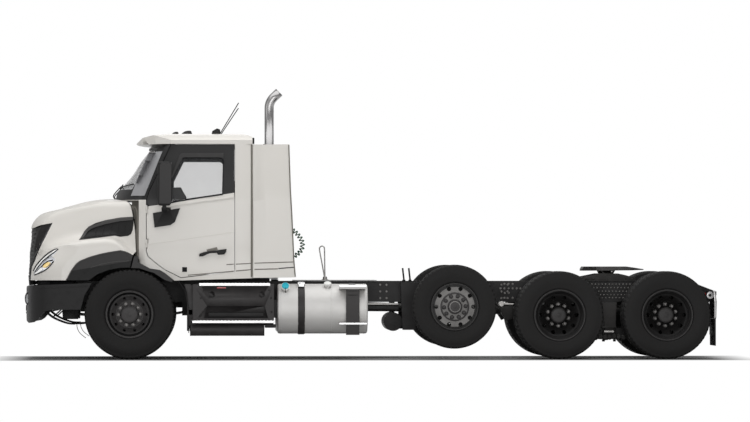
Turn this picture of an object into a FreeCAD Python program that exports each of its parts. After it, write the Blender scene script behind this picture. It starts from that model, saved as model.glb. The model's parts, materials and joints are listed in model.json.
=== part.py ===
import FreeCAD, Part
import math
import os

from FreeCAD import Vector

# Day-cab truck tractor, millimetres. +X points forward, +Y to the left, +Z up.
# Lengths along X are written from the front axle; save() moves each piece so that
# the origin is on the ground, half way along the truck.

# Wheelbase and stance
LIFT_AXLE_X = -4066
TANDEM_X = -6059
TANDEM_SPREAD = 1352
DRIVE_AXLE_X = (TANDEM_X + TANDEM_SPREAD / 2, TANDEM_X - TANDEM_SPREAD / 2)
BUMPER_FRONT_X = 1318
RAIL_REAR_X = -7400
MID_X = (BUMPER_FRONT_X + RAIL_REAR_X) / 2

# Tyres and wheels
STEER_TYRE_R = 564
STEER_TYRE_W = 422
STEER_Y = 1040
DRIVE_TYRE_R = 552
DRIVE_TYRE_W = 279
DUAL_SPACING = 330
DRIVE_OUTER_Y = 1082
LIFT_TYRE_R = 527
LIFT_TYRE_W = 279
LIFT_Y = 1082
LIFT_Z = 658
BEAD_R_WIDE = 284
BEAD_R_DRIVE = 309
RIM_LIP = 14
HAND_HOLES = 10
DISC_T = 11
HUB_FLANGE_R = 150
HUB_BORE = 190
STEER_DISC = {"hub_out": 110, "edge_out": 64, "edge_r": 254, "hole_at": 206, "hole_r": 19, "cap_r": 100}
LIFT_DISC = {"hub_out": 110, "edge_out": 83, "edge_r": 279, "hole_at": 233, "hole_r": 27, "cap_r": 86}
RUN = 0.3

# Front axle
KINGPIN_Y = 875
KINGPIN_R = 24
BEAM_BOSS_R = 50
BEAM_BOSS_H = 118
BEAM_DROP = 104
BEAM_HALF_X = 52
STEER_ARM = 170
TIE_Z = 440
SPINDLE_R = 45
YOKE_GAP = 6

# Frame
RAIL_TOP = 978
RAIL_DEPTH = 266
RAIL_FLANGE = 90
RAIL_T = 8
RAIL_HALF_Y = 432
RAIL_FRONT_X = 1180
RAIL_TAPER_X = -7093
RAIL_TAIL_Z = 858
RAIL_BOTTOM = RAIL_TOP - RAIL_DEPTH

# Cab
CAB_REAR_X = -1535
CAB_SIDE_Y = 1090
CAB_ROOF_SIDE_Y = 1000
CAB_WALL = 62
CAB_FLOOR_Z = 1140
CAB_FLOOR_T = 50
CAB_BELT_Z = 1990
ROOF_SEAM_Z = 2700
ROOF_TOP_Z = 2842
FIREWALL_X = -112
DOOR_FRONT_X = -212
DOOR_REAR_X = -1308
SEAM = 9
GLASS_T = 6
GLASS_IN = 22
HINGE_Y = CAB_SIDE_Y + 2
HINGE_Z = (1450, 1880)
HINGE_R = 8
HINGE_PIN_R = 4
HINGE_H = 50
HINGE_GAP = 3

# Hood
HOOD_WALL = 34
FENDER_Y = 1216
HOOD_REAR_X = -100
HOOD_BOTTOM_Z = 990
HOOD_PIVOT = (1262, 948)
HOOD_PIN_R = 11
HINGE_ARM_Y = 372
HINGE_ARM_T = 20
LUG_GAP = 3
LUG_T = 20

# Fifth wheel
PLATE_X = -6068
PLATE_TOP_Z = 1162
PLATE_HALF_Y = 457
PLATE_PIVOT_Z = 1050
KINGPIN_BORE_R = 25.9
LOCK_H = 40


def box(x0, x1, y0, y1, z0, z1):
    """Block between the two corners."""
    return Part.makeBox(abs(x1 - x0), abs(y1 - y0), abs(z1 - z0), Vector(min(x0, x1), min(y0, y1), min(z0, z1)))


def cyl_x(y, z, x0, x1, r):
    return Part.makeCylinder(r, abs(x1 - x0), Vector(min(x0, x1), y, z), Vector(1, 0, 0))


def cyl_y(x, z, y0, y1, r):
    return Part.makeCylinder(r, abs(y1 - y0), Vector(x, min(y0, y1), z), Vector(0, 1, 0))


def cyl_z(x, y, z0, z1, r):
    return Part.makeCylinder(r, abs(z1 - z0), Vector(x, y, min(z0, z1)), Vector(0, 0, 1))


def plate(points, origin, along):
    """Closed outline through the points, pushed out along a vector."""
    wire = Part.makePolygon([origin + p for p in points] + [origin + points[0]])
    return Part.Face(wire).extrude(along)


def plate_xz(points, y0, y1):
    """Side-view outline of (x, z) points, from y0 to y1."""
    return plate([Vector(x, 0, z) for x, z in points], Vector(0, y0, 0), Vector(0, y1 - y0, 0))


def plate_yz(points, x0, x1):
    """Front-view outline of (y, z) points, from x0 to x1."""
    return plate([Vector(0, y, z) for y, z in points], Vector(x0, 0, 0), Vector(x1 - x0, 0, 0))


def plate_xy(points, z0, z1):
    """Plan outline of (x, y) points, from z0 to z1."""
    return plate([Vector(x, y, 0) for x, y in points], Vector(0, 0, z0), Vector(0, 0, z1 - z0))


def turned_y(outline, x, z):
    """Outline of (y, radius) points turned about a cross axis at (x, z)."""
    points = [Vector(x, y, z + r) for y, r in outline]
    face = Part.Face(Part.makePolygon(points + [points[0]]))
    return face.revolve(Vector(x, 0, z), Vector(0, 1, 0), 360)


def mirrored(shape):
    """The same piece on the other side of the truck."""
    return shape.mirror(Vector(0, 0, 0), Vector(0, 1, 0))


def both(shape):
    """A piece and its mirror image."""
    return [shape, mirrored(shape)]


def fused(shapes):
    """One solid out of pieces that overlap."""
    return shapes[0].fuse(list(shapes[1:])).removeSplitter()


def rounded_path(points, radius):
    """Wire of straight runs with tangent arcs at the corners, as wide as the runs allow where no radius is given."""
    edges = []
    here = points[0]
    for before, corner, after in zip(points, points[1:], points[2:]):
        a = (before - corner).normalize()
        b = (after - corner).normalize()
        half = math.acos(max(-1.0, min(1.0, a.dot(b)))) / 2
        trim = radius / math.tan(half) if radius else 0.45 * min((before - corner).Length, (after - corner).Length)
        bend = trim * math.tan(half)
        start = corner + a * trim
        end = corner + b * trim
        middle = corner + (a + b).normalize() * (bend / math.sin(half) - bend)
        edges.append(Part.makeLine(here, start))
        edges.append(Part.Arc(start, middle, end).toShape())
        here = end
    edges.append(Part.makeLine(here, points[-1]))
    return Part.Wire(edges)


def tube(points, tube_r, bend_r):
    """Round bar along a path."""
    path = rounded_path(points, bend_r)
    start = points[0]
    section = Part.Wire(Part.makeCircle(tube_r, start, points[1] - points[0]))
    return path.makePipeShell([section], True, False)


def save(node, *shapes):
    """Write one named piece, moved to the truck's own origin."""
    whole = shapes[0] if len(shapes) == 1 else Part.makeCompound(list(shapes))
    moved = whole.copy()
    moved.translate(Vector(-MID_X, 0, 0))
    moved.exportStep("parts/" + node + ".step")


# Lofted bodywork

LOFT_DEGREE = 3

def half_spline(points, place):
    """Closed section: a smooth line through control points and their mirror, shut by a straight edge."""
    poles = [place(a, b) for a, b in points]
    poles = [place(-a, b) for a, b in reversed(points) if a] + poles
    curve = Part.BSplineCurve()
    curve.buildFromPoles(poles, False, 3)
    return Part.Wire([curve.toShape(), Part.makeLine(poles[-1], poles[0])])


def section_x(points, x):
    """Cross section of (y, z) control points, centreline first, at x."""
    return half_spline(points, lambda y, z: Vector(x, y, z))


def section_z(points, z):
    """Plan section of (y, x) control points, centreline first, at height z."""
    return half_spline(points, lambda y, x: Vector(x, y, z))


def loft(wires):
    return Part.makeLoft(wires, True, False, False, LOFT_DEGREE)


def blend(table, at):
    """Value of a table of (place, value, ...) rows at one place, straight between its rows."""
    rows = sorted(table)
    if at <= rows[0][0]:
        return rows[0][1:]
    for low, high in zip(rows, rows[1:]):
        if at <= high[0]:
            share = (at - low[0]) / (high[0] - low[0])
            return tuple(a + (b - a) * share for a, b in zip(low[1:], high[1:]))
    return rows[-1][1:]


def grown(points, by):
    """Side-view outline moved outwards by a distance, straight edges kept."""
    if not by:
        return points
    face = Part.Face(Part.makePolygon([Vector(x, 0, z) for x, z in points + points[:1]]))
    wire = face.makeOffset2D(by, 2, False, False, True).OuterWire
    return [(v.Point.x, v.Point.z) for v in wire.OrderedVertexes]


# Tyres and wheels

def tyre(x, z, y, tread_r, width, bead_r):
    """Road tyre: bulging side walls between the bead and a flat tread."""
    wall = tread_r - bead_r - RIM_LIP
    half = width / 2
    bead = half * 0.74
    side = [
        (bead, bead_r + RUN), (bead, bead_r + RIM_LIP), (half * 0.9, bead_r + wall * 0.2),
        (half, bead_r + wall * 0.55), (half * 0.93, tread_r - wall * 0.16), (half * 0.8, tread_r - 6),
        (half * 0.4, tread_r),
    ]
    outline = [(y + a, r) for a, r in side] + [(y - a, r) for a, r in reversed(side)]
    return turned_y(outline, x, z)


def rim_outline(y, width, bead_r):
    """Half section of a drop-centre rim barrel."""
    bead = width / 2 * 0.74
    lip_r = bead_r + RIM_LIP
    outer = [
        (bead + RUN, bead_r), (bead + RUN, lip_r), (bead + 12, lip_r), (bead + 12, bead_r - 8),
        (bead - 26, bead_r - 10), (bead - 50, bead_r - 34),
    ]
    well = [(-(bead - 26), bead_r - 10), (-(bead + 12), bead_r - 8), (-(bead + 12), lip_r),
            (-(bead + RUN), lip_r), (-(bead + RUN), bead_r), (-(bead - 30), bead_r), (-(bead - 52), bead_r - 24),
            (bead - 52, bead_r - 24), (bead - 30, bead_r)]
    return [(y + a, r) for a, r in outer + [(-(bead - 50), bead_r - 34)] + well]


def hand_holes(x, z, y0, y1, at_r, hole_r):
    """Ring of round holes through a wheel disc."""
    holes = []
    for i in range(HAND_HOLES):
        turn = 2 * math.pi * i / HAND_HOLES
        holes.append(cyl_y(x + at_r * math.cos(turn), z + at_r * math.sin(turn), y0, y1, hole_r))
    return Part.makeCompound(holes)


def disc(x, z, y_edge, y_hub, edge_r, hub_r):
    """Dished disc between the hub face and the rim barrel, its edge sunk into the barrel's wall."""
    t = DISC_T
    outline = [(y_hub, hub_r - 70), (y_hub, hub_r), (y_edge, edge_r - 20), (y_edge, edge_r),
               (y_edge + t, edge_r), (y_edge + t, edge_r - 22), (y_hub + t, hub_r + 4), (y_hub + t, hub_r - 70)]
    return turned_y(outline, x, z)


def single_wheel(x, z, y, width, form, hub_in):
    """Wheel of a single tyre: the disc bulges outwards and the hub runs on its spindle."""
    rim = turned_y(rim_outline(y, width, BEAD_R_WIDE), x, z)
    y_hub = y + form["hub_out"]
    web = disc(x, z, y + form["edge_out"], y_hub, form["edge_r"], HUB_FLANGE_R)
    web = web.cut(hand_holes(x, z, y_hub - 120, y_hub + 60, form["hole_at"], form["hole_r"]))
    cap = form["cap_r"]
    hub = turned_y([(hub_in, SPINDLE_R + RUN), (hub_in, 96), (y_hub - 60, 120), (y_hub, 132),
                    (y_hub + DISC_T, 132), (y_hub + DISC_T, cap), (y_hub + 52, cap - 4), (y_hub + 62, cap - 18),
                    (y_hub + 62, 0), (hub_in + HUB_BORE, 0), (hub_in + HUB_BORE, SPINDLE_R + RUN)], x, z)
    drum = turned_y([(y_hub - 150, 88), (y_hub - 150, 205), (y_hub - 48, 205), (y_hub - 48, 88)], x, z)
    return fused([rim, web, hub, drum])


def save_single(name, x, z, y, tread_r, width, form, hub_in):
    """Left and right tyre and wheel of a single-tyre axle."""
    rubber = tyre(x, z, y, tread_r, width, BEAD_R_WIDE)
    metal = single_wheel(x, z, y, width, form, hub_in)
    for side, put in (("left", lambda s: s), ("right", mirrored)):
        save("tyre_" + name + "_" + side, put(rubber))
        save("wheel_" + name + "_" + side, put(metal))


HUB_MATE_Y = DRIVE_OUTER_Y - DUAL_SPACING / 2
AXLE_SPINDLE_R = 68
AXLE_SPINDLE_END = HUB_MATE_Y + 30
DRUM_IN = HUB_MATE_Y - 250
DUAL_DISH = 118


def dual_wheel(x, z):
    """Twin wheels bolted back to back on one hub with its brake drum."""
    outer = turned_y(rim_outline(DRIVE_OUTER_Y, DRIVE_TYRE_W, BEAD_R_DRIVE), x, z)
    inner = turned_y(rim_outline(DRIVE_OUTER_Y - DUAL_SPACING, DRIVE_TYRE_W, BEAD_R_DRIVE), x, z)
    edge_r = BEAD_R_DRIVE - 30
    out_disc = disc(x, z, HUB_MATE_Y + DUAL_DISH, HUB_MATE_Y, edge_r, 166)
    in_disc = mirrored(disc(x, z, -HUB_MATE_Y + DUAL_DISH, -HUB_MATE_Y, edge_r, 166))
    holes = hand_holes(x, z, HUB_MATE_Y - 120, HUB_MATE_Y + 120, 226, 24)
    hub = turned_y([(DRUM_IN + 60, AXLE_SPINDLE_R + RUN), (DRUM_IN + 60, 110), (HUB_MATE_Y - 14, 130),
                    (HUB_MATE_Y - 14, 168), (HUB_MATE_Y + 14, 168), (HUB_MATE_Y + 14, 112),
                    (HUB_MATE_Y + 84, 106), (HUB_MATE_Y + 84, 74), (HUB_MATE_Y + 100, 70), (HUB_MATE_Y + 100, 0),
                    (AXLE_SPINDLE_END + 4, 0), (AXLE_SPINDLE_END + 4, AXLE_SPINDLE_R + RUN)], x, z)
    drum = turned_y([(DRUM_IN, 192), (DRUM_IN, 210), (HUB_MATE_Y - 10, 210), (HUB_MATE_Y - 10, 120),
                     (HUB_MATE_Y - 28, 120), (HUB_MATE_Y - 28, 192)], x, z)
    discs = fused([out_disc, in_disc]).cut(holes)
    return fused([outer, inner, discs, hub, drum])


def drive_wheels():
    """Four sets of twin wheels."""
    for number, x in enumerate(DRIVE_AXLE_X, 1):
        metal = dual_wheel(x, DRIVE_TYRE_R)
        pair = [tyre(x, DRIVE_TYRE_R, y, DRIVE_TYRE_R, DRIVE_TYRE_W, BEAD_R_DRIVE)
                for y in (DRIVE_OUTER_Y, DRIVE_OUTER_Y - DUAL_SPACING)]
        for side, put in (("left", lambda s: s), ("right", mirrored)):
            save("tyres_drive_%d_%s" % (number, side), *[put(s) for s in pair])
            save("wheels_drive_%d_%s" % (number, side), put(metal))


# Front axle, steering and front springs

def front_axle():
    """Forged beam with its kingpins, dropped between the bosses."""
    z = STEER_TYRE_R
    low = z - BEAM_DROP
    outline = [(-650, low + 46), (-760, z + 40), (-KINGPIN_Y, z + 48), (-KINGPIN_Y, z - 48), (-720, z - 62),
               (-600, low - 50), (600, low - 50), (720, z - 62), (KINGPIN_Y, z - 48), (KINGPIN_Y, z + 48),
               (760, z + 40), (650, low + 46)]
    beam = plate_yz(outline, -BEAM_HALF_X, BEAM_HALF_X)
    web = plate_yz([(-640, low + 20), (-600, low - 28), (600, low - 28), (640, low + 20)], -BEAM_HALF_X, -14)
    web2 = plate_yz([(-640, low + 20), (-600, low - 28), (600, low - 28), (640, low + 20)], 14, BEAM_HALF_X)
    beam = beam.cut([web, web2])
    parts = [beam]
    for y in (KINGPIN_Y, -KINGPIN_Y):
        parts.append(cyl_z(0, y, z - BEAM_BOSS_H / 2, z + BEAM_BOSS_H / 2, BEAM_BOSS_R))
        parts.append(cyl_z(0, y, z - BEAM_BOSS_H / 2 - 48, z + BEAM_BOSS_H / 2 + 48, KINGPIN_R))
    return fused(parts)


def knuckle():
    """Left steering knuckle: yoke round the kingpin, spindle and steering arm."""
    z = STEER_TYRE_R
    y = KINGPIN_Y
    top = z + BEAM_BOSS_H / 2 + YOKE_GAP
    bottom = z - BEAM_BOSS_H / 2 - YOKE_GAP
    arm = 34
    yoke_y = y + BEAM_BOSS_R + YOKE_GAP
    bore = KINGPIN_R + RUN
    parts = []
    for z0 in (top, bottom - arm):
        ear = fused([cyl_z(0, y, z0, z0 + arm, 46), box(-46, 46, y, yoke_y + 26, z0, z0 + arm)])
        parts.append(ear)
    parts.append(box(-58, 58, yoke_y, yoke_y + 30, bottom - arm, top + arm))
    parts.append(cyl_y(0, z, yoke_y, yoke_y + 210, SPINDLE_R))
    arm_z = bottom - arm
    parts.append(plate_xy([(20, y - 40), (-STEER_ARM - 24, y - 22), (-STEER_ARM - 24, y + 22), (20, y + 44)],
                          arm_z, arm_z + 22))
    parts.append(cyl_z(-STEER_ARM, y, TIE_Z - 16, arm_z + 4, 12))
    solid = fused(parts)
    return solid.cut(cyl_z(0, y, bottom - arm - 40, top + arm + 40, bore))


def tie_rod():
    """Cross rod between the two steering arms."""
    parts = [cyl_y(-STEER_ARM, TIE_Z, -KINGPIN_Y + 14, KINGPIN_Y - 14, 17)]
    for y in (KINGPIN_Y, -KINGPIN_Y):
        parts.append(cyl_z(-STEER_ARM, y, TIE_Z - 14, TIE_Z + 14, 28))
    rod = fused(parts)
    for y in (KINGPIN_Y, -KINGPIN_Y):
        rod = rod.cut(cyl_z(-STEER_ARM, y, TIE_Z - 30, TIE_Z + 30, 12 + RUN))
    return rod


SPRING_Y0 = 344
SPRING_Y1 = 428
SPRING_FRONT_X = 762
SPRING_REAR_X = -690
SPRING_EYE_Z = 566


def front_spring():
    """Left leaf spring with its front hanger and rear shackle, between beam and rail."""
    seat = STEER_TYRE_R - BEAM_DROP + 46
    low = [(SPRING_FRONT_X, SPRING_EYE_Z - 14), (380, seat + 12), (120, seat), (-120, seat), (-360, seat + 14),
           (SPRING_REAR_X, SPRING_EYE_Z + 6)]
    leaf = plate_xz(low + [(x, z + 26 + (24 if abs(x) < 200 else 0)) for x, z in reversed(low)], SPRING_Y0, SPRING_Y1)
    eyes = [cyl_y(SPRING_FRONT_X, SPRING_EYE_Z, SPRING_Y0, SPRING_Y1, 34),
            cyl_y(SPRING_REAR_X, SPRING_EYE_Z + 20, SPRING_Y0, SPRING_Y1, 34)]
    clamps = [box(x - 12, x + 12, SPRING_Y0 - 2, SPRING_Y1 + 2, seat + 20, seat + 64) for x in (-78, 78)]
    spring = fused([leaf] + eyes + clamps)
    hanger = plate_xz([(SPRING_FRONT_X + 112, RAIL_BOTTOM), (SPRING_FRONT_X + 96, SPRING_EYE_Z - 70),
                       (SPRING_FRONT_X - 96, SPRING_EYE_Z - 70), (SPRING_FRONT_X - 112, RAIL_BOTTOM)],
                      SPRING_Y0 - 8, RAIL_HALF_Y)
    room = box(SPRING_FRONT_X - 140, SPRING_FRONT_X + 60, SPRING_Y0 - RUN, SPRING_Y1 + RUN, SPRING_EYE_Z - 120,
               RAIL_BOTTOM - 40)
    shackle = box(SPRING_REAR_X - 40, SPRING_REAR_X + 40, SPRING_Y0 - 8, RAIL_HALF_Y, SPRING_EYE_Z - 24, RAIL_BOTTOM)
    slot = box(SPRING_REAR_X - 60, SPRING_REAR_X + 60, SPRING_Y0 - RUN, SPRING_Y1 + RUN, SPRING_EYE_Z - 60,
               RAIL_BOTTOM - 30)
    return [spring, hanger.cut(room), shackle.cut(slot)]


# Frame

def rail():
    """Left frame channel, its tail cut down in a ramp."""
    outline = [(RAIL_FRONT_X, RAIL_TOP - 40), (RAIL_FRONT_X - 40, RAIL_TOP), (RAIL_TAPER_X, RAIL_TOP),
               (RAIL_REAR_X, RAIL_TAIL_Z), (RAIL_REAR_X, RAIL_BOTTOM), (RAIL_FRONT_X, RAIL_BOTTOM)]
    web = plate_xz(outline, RAIL_HALF_Y - RAIL_T, RAIL_HALF_Y)
    flange = plate_xz(outline, RAIL_HALF_Y - RAIL_FLANGE, RAIL_HALF_Y)
    hollow = [(RAIL_FRONT_X + 10, RAIL_TOP - 40), (RAIL_FRONT_X - 44, RAIL_TOP - RAIL_T),
              (RAIL_TAPER_X, RAIL_TOP - RAIL_T), (RAIL_REAR_X - 10, RAIL_TAIL_Z - RAIL_T - 4),
              (RAIL_REAR_X - 10, RAIL_BOTTOM + RAIL_T), (RAIL_FRONT_X + 10, RAIL_BOTTOM + RAIL_T)]
    return fused([web, flange.cut(plate_xz(hollow, RAIL_HALF_Y - RAIL_FLANGE - 1, RAIL_HALF_Y - RAIL_T))])


CROSSMEMBER_X = (1100, -1300, -2200, -3150, -4700, TANDEM_X, -7340)


def crossmember(x):
    """Channel across the frame, ends between the rail flanges."""
    y = RAIL_HALF_Y - RAIL_T
    z0 = RAIL_BOTTOM + (RAIL_T if x < RAIL_TAPER_X else 80)
    z1 = RAIL_TOP - RAIL_T - (150 if x < RAIL_TAPER_X else 40)
    body = box(x - 45, x + 45, -y, y, z0, z1)
    return body.cut(box(x - 60, x + 37, -y + 70, y - 70, z0 + 9, z1 - 9))


# Bumper

def bumper():
    """Wrapped steel bumper, open behind."""
    side = [(BUMPER_FRONT_X, 545), (BUMPER_FRONT_X, 880), (1300, 914), (1261, 926), (900, 938), (471, 956),
            (560, 800), (608, 625), (971, 619), (1046, 604), (1090, 560), (1146, 494), (1190, 466), (1262, 455),
            (1304, 482)]
    plan = [(0, BUMPER_FRONT_X), (420, BUMPER_FRONT_X + 4), (840, 1292), (1090, 1240), (1200, 1130), (1232, 1020),
            (1236, 760), (1236, 400)]
    inner = [(max(y - 46, 0), x - 46 if y < 1150 else min(x - 46, 1060)) for y, x in plan]
    skin = loft([section_z(plan, 440), section_z(plan, 970)])
    hollow = loft([section_z(inner, 430), section_z(inner, 980)])
    shell = plate_xz(side, -1300, 1300).common(skin.cut(hollow))
    x, z = HOOD_PIVOT
    lug_room = box(x - 44, x + 36, HINGE_ARM_Y - 6, HINGE_ARM_Y + HINGE_ARM_T + LUG_GAP + LUG_T + 10, z - 44, z + 60)
    bar = box(RAIL_FRONT_X, BUMPER_FRONT_X - 44, RAIL_HALF_Y - 60, RAIL_HALF_Y, RAIL_BOTTOM + 10, RAIL_TOP - 80)
    return fused([shell.cut(both(lug_room))] + both(bar))


# Hood

def hood_heights(x):
    """Centre height, shoulder height, fender ridge height of the hood at x."""
    table = [(-140, 2030, 1925, 1300), (-40, 2030, 1935, 1332), (60, 2028, 1945, 1393), (150, 2025, 1950, 1450),
             (250, 2021, 1948, 1497), (430, 2010, 1940, 1492), (620, 1975, 1905, 1470), (750, 1942, 1868, 1445),
             (880, 1903, 1820, 1400), (1000, 1882, 1770, 1350), (1100, 1850, 1715, 1300), (1200, 1795, 1650, 1240),
             (1330, 1700, 1560, 1180)]
    return blend(table, x)


def hood_section(x, t):
    """Control points of the hood's cross section at x, inset by t."""
    top, shoulder, ridge = hood_heights(x)
    width = blend([(-140, 925), (300, 850), (700, 770), (1000, 700), (1330, 610)], x)[0]
    side = FENDER_Y
    waist = ridge + 60
    return [(0, top - t), (width * 0.5, top - 6 - t), (width * 0.86, top - 30 - t), (width - t, shoulder + 30 - t),
            (width + 34 - t, shoulder - 90), (width + 88 - t, (shoulder + waist) / 2 - 40 - t),
            (width + 120 - t, waist - t), (side - 110, ridge + 26 - t), (side - 14 - t, ridge - 8 - t),
            (side + 6 - t, ridge - 110 - t), (side - t, 1130), (side - t, 900)]


HOOD_STATIONS = (-140, 60, 250, 430, 620, 820, 1000, 1160, 1330)


def hood_nose(z, t):
    """Control points of the nose's plan outline at height z, inset by t."""
    front, middle, corner, side = blend(
        [(880, 1300, 1292, 1190, 900), (1100, 1298, 1284, 1180, 880), (1250, 1294, 1262, 1110, 790),
         (1400, 1288, 1225, 1010, 650), (1565, 1276, 1170, 930, 560), (1677, 1268, 1090, 860, 500),
         (1757, 1224, 1010, 780, 430), (1808, 1172, 950, 700, 380), (1861, 1046, 850, 600, 300),
         (1900, 880, 700, 450, 200), (2040, 400, 300, 100, 0)], z)
    rear = HOOD_REAR_X - 200
    return [(0, front - t), (380 - t * 0.4, front - 6 - t), (760 - t, middle - t), (1080 - t, corner - t),
            (1236 - t, side - t), (1250 - t, side - 300), (1250 - t, rear)]


NOSE_LEVELS = (880, 1100, 1250, 1400, 1565, 1677, 1757, 1808, 1861, 1900, 2040)
NOSE_SINK = [(1400, 0.0), (1757, 1.0)]


def hood_body(t):
    """Hood block inset by t: cross sections along the truck, met by plan outlines up the nose."""
    along = loft([section_x(hood_section(x, t), x) for x in HOOD_STATIONS])
    nose = loft([section_z(hood_nose(z, t), z - t * blend(NOSE_SINK, z)[0]) for z in NOSE_LEVELS])
    return along.common(nose)


def cowl_plan(grow):
    """Plan outline of the cowl below the windshield, grown forward."""
    end = HOOD_REAR_X - 4 + grow
    return [(0, 226 + grow), (420, 200 + grow), (760, 90 + grow), (980, -70 + grow), (1010 + grow, end), (1400, end)]


FLARE_OUTLINE = [(790, 900), (790, 993), (746, 1081), (684, 1175), (621, 1231), (496, 1277), (371, 1315),
                 (246, 1341), (109, 1365), (46, 1350), (-41, 1306), (-80, 1300), (-80, 900)]
VENT_OUTLINE = [(634, 1494), (571, 1606), (521, 1662), (434, 1706), (309, 1744), (121, 1777), (-47, 1787),
                (-47, 1694), (-35, 1619), (-16, 1569), (21, 1546), (121, 1534), (184, 1550), (371, 1525)]
LAMP_SIDE = [(1196, 1050), (1202, 1094), (1171, 1168), (1121, 1231), (1059, 1293), (996, 1343), (934, 1375),
             (884, 1387), (921, 1331), (971, 1287), (921, 1250), (946, 1225), (996, 1156), (1059, 1106),
             (1121, 1075)]
GRILLE_SIDE = [(1400, 1622), (1215, 1652), (1139, 1682), (975, 1712), (1013, 1635), (1063, 1534), (1114, 1433),
               (1152, 1345), (1189, 1232), (1227, 1156), (1240, 1055), (1246, 960), (1400, 960)]
GRILLE_SINK = 10


def hood_cutters():
    """What is cut off the hood block: the space below its lower edge and behind its rear seam."""
    below = plate_xz([(1500, 800), (1500, HOOD_BOTTOM_Z), (505, HOOD_BOTTOM_Z), (400, 1066), (260, 1120),
                      (120, 1146), (-20, 1150), (-400, 1150), (-400, 800)], -1400, 1400)
    corner = plate_xz([(-4, 800), (-4, 1137), (-41, 1306), (-100, 1378), (-400, 1378), (-400, 800)], -1400, 1400)
    rear = loft([section_z(cowl_plan(14), 900), section_z(cowl_plan(14), 2200)])
    return [below, corner, rear, box(HOOD_REAR_X - 200, HOOD_REAR_X + 10, -1400, 1400, 900, 2200)]


def side_room(outline, by):
    """Side-view outline grown by a distance, on the left outer half only."""
    return plate_xz(grown(outline, by), 500, 1400)


def hood_lug():
    """Left lug under the grille that turns on its pin and carries the hood."""
    x, z = HOOD_PIVOT
    y0 = HINGE_ARM_Y + HINGE_ARM_T + LUG_GAP
    lug = plate_xz([(x - 22, HOOD_BOTTOM_Z + 60), (x - 22, z - 22), (x + 22, z - 22), (x + 32, HOOD_BOTTOM_Z + 60)],
                   y0, y0 + LUG_T)
    return lug.cut(cyl_y(x, z, y0 - 1, y0 + LUG_T + 1, HOOD_PIN_R + RUN))


def hood_parts():
    """Hood shell with fenders, its flares, side vents and headlamps, left and right."""
    outer = hood_body(0)
    shell = outer.cut(hood_body(HOOD_WALL)).cut(hood_cutters())
    flare_room = side_room(FLARE_OUTLINE, 0)
    vent_room = side_room(VENT_OUTLINE, 0)
    lamp_room = plate_xz(LAMP_SIDE, 500, 1400)
    rooms = [flare_room, vent_room, lamp_room]
    solid = shell.cut(rooms + [mirrored(r) for r in rooms] + [plate_xz(GRILLE_SIDE, -1300, 1300)])
    flare = hood_body(-5).cut(hood_body(HOOD_WALL)).cut(hood_cutters()).common(side_room(FLARE_OUTLINE, -RUN))
    vent = hood_body(-3).cut(hood_body(HOOD_WALL - 4)).common(side_room(VENT_OUTLINE, -RUN))
    lamp = hood_body(2).cut(hood_body(HOOD_WALL + 20)).common(lamp_room)
    return solid, flare, vent, lamp


def grille():
    """Grille that wraps round the nose under the hood's lip, with the lugs that the hood turns on."""
    band = hood_body(GRILLE_SINK).cut(hood_body(HOOD_WALL + 26)).cut(hood_cutters())
    return fused([band.common(plate_xz(grown(GRILLE_SIDE, -RUN), -1300, 1300))] + both(hood_lug()))


def hood_hinge():
    """Pins and brackets at the front of the frame that the hood tilts on."""
    x, z = HOOD_PIVOT
    arm = plate_xz([(RAIL_FRONT_X - 90, RAIL_TOP), (RAIL_FRONT_X - 40, RAIL_TOP), (RAIL_FRONT_X + 4, z - 12),
                    (x + 14, z - 12), (x + 14, z + 16), (RAIL_FRONT_X - 80, RAIL_TOP + 26)],
                   HINGE_ARM_Y, HINGE_ARM_Y + HINGE_ARM_T)
    pin = cyl_y(x, z, HINGE_ARM_Y, HINGE_ARM_Y + HINGE_ARM_T + LUG_GAP + LUG_T + 6, HOOD_PIN_R)
    return both(fused([arm, pin]))


# Cab

def screen_front(z):
    """Centre and side front edges of the cab's plan outline at height z."""
    table = [(CAB_BELT_Z, 214, FIREWALL_X), (2102, 190, -150), (2242, 88, -222), (2415, -42, -310),
             (2587, -168, -400), (2700, -252, -478), (2900, -400, -600)]
    return blend(table, z)


def cab_plan(z, t):
    """Control points of the cab's plan outline at height z, inset by t."""
    centre, side = screen_front(z)
    half = blend([(900, CAB_SIDE_Y - 8), (1600, CAB_SIDE_Y), (2000, CAB_SIDE_Y - 4),
                  (2700, CAB_ROOF_SIDE_Y), (2900, CAB_ROOF_SIDE_Y - 40)], z)[0]
    rear = CAB_REAR_X + t
    return [(0, centre - t), (half * 0.46, centre - t - (centre - side) * 0.12),
            (half * 0.8, (centre + side) / 2 - t), (half * 0.95 - t, side + 20 - t), (half - t, side - 50 - t),
            (half - t, side - 200), (half - t, rear + 200), (half - t, rear + 20), (half - 30 - t, rear)]


CAB_LEVELS = (900, 1050, 1200, 1400, 1600, 1800, CAB_BELT_Z, 2102, 2242, 2415, 2587, 2700, 2900)
COWL_SHELF = 50


def cab_block(t):
    """The cab's outer block inset by t, cut back to the firewall below the cowl."""
    block = loft([section_z(cab_plan(z, t), z) for z in CAB_LEVELS])
    ahead = box(FIREWALL_X - t, 2000, -1300, 1300, 900, CAB_BELT_Z + (COWL_SHELF if t else 0))
    return block.cut(ahead)


def cab_skin(depth, t, room):
    """Skin of the cab of one thickness, from a depth below its surface, within a room."""
    return cab_block(depth).common(room).cut(cab_block(depth + t))


DOOR_OUTLINE = [(DOOR_FRONT_X, 1992), (DOOR_FRONT_X, 1370), (DOOR_FRONT_X - 18, 1294), (-316, 1219), (-441, 1126),
                (-641, 1026), (DOOR_REAR_X, 1106), (DOOR_REAR_X, 2692), (-520, 2692), (-240, 2090)]
WINDOW_OUTLINE = [(-641, 2525), (-1141, 2525), (-1172, 2493), (-1160, 2075), (-516, 1956), (-522, 2268)]


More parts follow.
